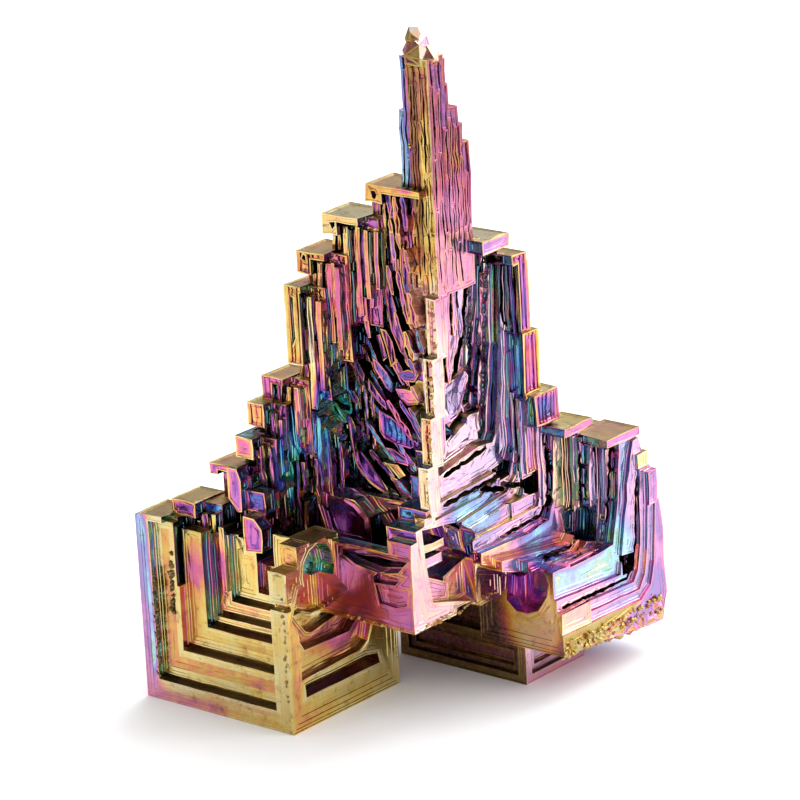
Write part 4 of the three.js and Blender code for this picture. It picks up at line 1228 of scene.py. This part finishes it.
def oxidised_bismuth():
    material = bpy.data.materials.new("oxidised_bismuth")
    nodes = Nodes(material)
    place = nodes.node("ShaderNodeTexCoord", output=3)
    upright = nodes.node("ShaderNodeMapping", inputs={"Vector": place, "Scale": (1.0, 1.0, 0.16)})
    film, hollow, tarnish, pale = (nodes.attribute(name) for name in ("film", "hollow", "tarnish", "pale"))
    drift = nodes.noise(place, 210.0, 2.0, 0.5)
    streaks = nodes.noise(upright, 1500.0, 2.0, 0.6)
    grain = nodes.noise(place, 2600.0, 4.0, 0.65)
    mottle = nodes.noise(place, 850.0, 3.0, 0.6)
    thickness = film + (mottle - 0.5) * film * 0.5
    thickness = thickness + (drift - 0.5) * (0.06 + film * 0.55) + (streaks - 0.5) * (0.03 + film * 0.2)
    bright = nodes.node("ShaderNodeValToRGB", {"stops": FILM_COLOURS}, {"Fac": thickness})
    # Paleness above 0 washes the film pale: partly its own tone, partly painted highlight on sides facing
    # the bright room.
    washed_and_lit = nodes.mix(pale.clamped(), bright, WASH_AND_HIGHLIGHT)
    # Paleness below 0 darkens it towards dark teal: painted shade.
    shaded = nodes.mix((pale * -1.0).clamped(), washed_and_lit, TEAL_SHADE)
    crust = nodes.mix(grain.step_up(0.38, 0.62), TARNISH_DARK, TARNISH_PALE)
    specks = (grain * 0.5 + mottle * 0.5).step_up(0.54, 0.64) * 0.42
    crusted = nodes.mix((tarnish * (0.45 + grain * 0.8) + specks).clamped(), shaded, crust)
    # Closed-in points are darkened towards dark teal and then near black: painted shade in the hollows, the
    # teal partly the thick oxide there.
    hollow_shaded = nodes.mix(hollow.step_up(0.5, 0.8) * 0.8, crusted, TEAL_SHADE)
    colour = nodes.mix(hollow.step_up(0.66, 0.88), hollow_shaded, DEEP_SHADE)
    rough = 0.17 + tarnish * grain * 0.55 + (streaks - 0.5) * 0.1
    relief = streaks * 0.6 + grain * (0.25 + tarnish * 1.6)
    bump = {"Strength": 0.22, "Distance": 0.00006, "Height": relief}
    metal = {
        "Base Color": colour, "Metallic": 1.0, "Roughness": rough.clamped(),
        "Normal": nodes.node("ShaderNodeBump", inputs=bump),
    }
    surface = nodes.node("ShaderNodeBsdfPrincipled", inputs=metal)
    nodes.node("ShaderNodeOutputMaterial", inputs={"Surface": surface})
    return material


def finished_piece(fine, name, material):
    bmesh.ops.translate(fine, verts=fine.verts, vec=HOME)
    bmesh.ops.transform(fine, verts=fine.verts, matrix=Matrix.Scale(MM, 4))
    piece = add_shape(name, fine)
    piece.data.materials.append(material)
    return piece


# Metal that set last: beads along edges, and crumbs on the lower rims. Each line has its two ends, the
# number of lumps, their smallest and largest radius, how far they stray, and how brown they are.
LATE_LINES = [
    ((-0.15, 3.3, 22.0), (-0.15, 3.3, 27.0), 6, 0.12, 0.24, 0.12, 0.5),
    ((-0.3, 4.1, 27.0), (-0.2, 4.1, 32.0), 9, 0.14, 0.3, 0.16, 0.5),
    ((-0.4, 4.9, 32.0), (-0.3, 4.9, 38.0), 12, 0.14, 0.32, 0.2, 0.6),
    ((-0.4, 5.7, 38.0), (-0.3, 5.7, 44.0), 12, 0.12, 0.32, 0.2, 0.6),
    ((-0.2, 6.4, 44.0), (-0.2, 6.4, 52.0), 8, 0.1, 0.22, 0.12, 0.4),
    ((-2.7, 6.4, 58.0), (-2.7, 6.4, 59.8), 3, 0.16, 0.26, 0.1, 0.4),
    ((-28.6, -7.46, 2.0), (-28.3, -7.46, 14.4), 40, 0.18, 0.4, 0.13, 0.95),
    ((-26.7, -6.75, 9.6), (-26.3, -6.75, 16.4), 24, 0.18, 0.38, 0.15, 0.95),
    ((-10.9, -7.46, 2.5), (-10.8, -7.46, 16.0), 26, 0.1, 0.24, 0.14, 0.8),
    ((-0.1, 0.3, 10.7), (-0.1, 14.5, 10.8), 44, 0.1, 0.26, 0.16, 0.6),
    ((-9.0, 0.1, 10.7), (-0.3, 0.1, 10.7), 26, 0.1, 0.24, 0.14, 0.6),
    ((6.8, 15.4, 5.4), (6.8, 31.8, 5.5), 90, 0.12, 0.34, 0.3, 0.55),
    ((6.75, 15.4, 4.7), (6.75, 31.8, 4.4), 90, 0.14, 0.38, 0.36, 0.55),
    ((6.3, 15.3, 4.3), (6.3, 21.0, 4.1), 24, 0.18, 0.44, 0.3, 0.55),
    ((6.3, 21.0, 4.1), (6.3, 28.0, 3.3), 28, 0.18, 0.5, 0.3, 0.55),
    ((6.2, 28.0, 3.3), (6.1, 32.2, 3.4), 20, 0.18, 0.5, 0.35, 0.5),
    ((6.0, 32.3, 3.6), (6.2, 32.5, 9.0), 22, 0.14, 0.36, 0.25, 0.45),
]

# The attributes of a lump, its film, how far the shade mix of the hollows darkens it (browner lumps
# most), and how uneven.
LUMP_LAYERS = ("film", "tarnish", "pale", "hollow")
LUMP_FILM = (0.12, 0.24)
LUMP_HOLLOW, LUMP_HOLLOW_SPREAD = 0.66, 0.08
LUMP_SWELL, LUMP_FINENESS, LUMPS_DIFFER = 0.55, 1.3, 3


def add_lump(lumps, spot, radius, box):
    """An uneven lump of twenty faces, kept inside the box; returns its faces."""
    verts = bmesh.ops.create_icosphere(lumps, subdivisions=1, radius=radius)["verts"]
    for vert in verts:
        swell = 1 + LUMP_SWELL * noise.noise(vert.co / radius * LUMP_FINENESS + spot * LUMPS_DIFFER)
        vert.co = inside_limits(vert.co * swell + spot, *box)
    return {f for v in verts for f in v.link_faces}


def late_growth(material):
    chance = random.Random(SEED + 3)
    box = limits()
    lumps = bmesh.new()
    film, tarnish, _, hollow = (lumps.loops.layers.float.new(name) for name in LUMP_LAYERS)
    for start, end, count, smallest, largest, stray, brown in LATE_LINES:
        for i in range(count):
            radius = smallest + (largest - smallest) * chance.random() ** 2
            spot = Vector(start).lerp(Vector(end), (i + chance.random()) / count)
            spot += Vector([chance.uniform(-stray, stray) for _ in "xyz"])
            faces = add_lump(lumps, spot, radius, box)
            thin = chance.uniform(*LUMP_FILM)
            dark = brown * LUMP_HOLLOW + chance.uniform(-LUMP_HOLLOW_SPREAD, LUMP_HOLLOW_SPREAD)
            for loop in (loop for face in faces for loop in face.loops):
                loop[film], loop[tarnish], loop[hollow] = thin, brown, dark
    piece = finished_piece(lumps, "late_growth", material)
    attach(piece, "root")


def crystal(material):
    fine = grow_detail(crystal_body())
    wander(fine)
    shade_hollows(fine)
    piece = finished_piece(fine, "stepped_crystal", material)
    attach(piece, "root")
    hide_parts(NODE)


# Floor, light and camera.

def table():
    flat = bmesh.new()
    bmesh.ops.create_grid(flat, x_segments=1, y_segments=1, size=3.0)
    board = add_shape("table", flat)
    white = bpy.data.materials.new("white_table")
    nodes = Nodes(white)
    paint = {"Base Color": (0.93, 0.93, 0.94, 1), "Roughness": 0.75}
    surface = nodes.node("ShaderNodeBsdfPrincipled", inputs=paint)
    nodes.node("ShaderNodeOutputMaterial", inputs={"Surface": surface})
    board.data.materials.append(white)


LIT_POINT = Vector((0, 0, 0.03))


def soft_light(name, toward, distance, size, watts):
    """A square softbox that shines on the crystal from the given direction."""
    light = bpy.data.lights.new(name, "AREA")
    light.shape, light.size, light.energy = "SQUARE", size, watts
    lamp = add_object(name, light)
    direction = Vector(toward).normalized()
    lamp.location = direction * distance + LIT_POINT
    lamp.rotation_euler = direction.to_track_quat("Z", "Y").to_euler()


# The room: dark on one side, bright on the other.
BRIGHT_SIDE = (0.35, 0.45, 0.82)
DIM_WALL = (0.16, 0.16, 0.16, 1)
BRIGHT_WALL = (1.25, 1.25, 1.25, 1)


def studio():
    world = bpy.data.worlds.new("studio")
    bpy.context.scene.world = world
    nodes = Nodes(world)
    place = nodes.node("ShaderNodeTexCoord")
    toward = nodes.node("ShaderNodeVectorMath", {"operation": "DOT_PRODUCT"}, {0: place, 1: BRIGHT_SIDE}, 1)
    stops = [(0.0, DIM_WALL), (1.0, BRIGHT_WALL)]
    shades = nodes.node("ShaderNodeValToRGB", {"stops": stops}, {"Fac": toward * 0.5 + 0.5})
    background = nodes.node("ShaderNodeBackground", inputs={"Color": shades, "Strength": 1.0})
    nodes.node("ShaderNodeOutputWorld", inputs={"Surface": background})
    soft_light("window_behind", (-0.1, 1.0, 1.1), 0.7, 0.6, 4.2)
    soft_light("window_right", (1.0, 0.5, 0.9), 0.8, 0.5, 2.2)
    bpy.context.scene.view_settings.view_transform = "Standard"


def camera_axes():
    azimuth, elevation, roll = map(math.radians, (CAMERA_AZIMUTH, CAMERA_ELEVATION, CAMERA_ROLL))
    level = math.cos(elevation)
    back = Vector((math.sin(azimuth) * level, -math.cos(azimuth) * level, math.sin(elevation)))
    sideways = Vector((math.cos(azimuth), math.sin(azimuth), 0))
    right = math.cos(roll) * sideways - math.sin(roll) * back.cross(sideways)
    return right, back.cross(right), back


def camera():
    right, up, back = camera_axes()
    over = (BASE_CORNER_PIXEL[0] - IMAGE_MIDDLE) * PIXEL_AT_BASE
    under = (BASE_CORNER_PIXEL[1] - IMAGE_MIDDLE) * PIXEL_AT_BASE
    spot = BASE_CORNER + HOME + back * CAMERA_DISTANCE - right * over + up * under
    data = bpy.data.cameras.new("camera")
    data.lens, data.sensor_width = CAMERA_LENS, CAMERA_SENSOR
    data.clip_start, data.clip_end = 0.05, 10.0
    eye = add_object("camera", data)
    pose = Matrix((right, up, back)).transposed().to_4x4()
    pose.translation = spot * MM
    eye.matrix_world = pose
    bpy.context.scene.camera = eye


oxide = oxidised_bismuth()
crystal(oxide)
late_growth(oxide)
table()
studio()
camera()
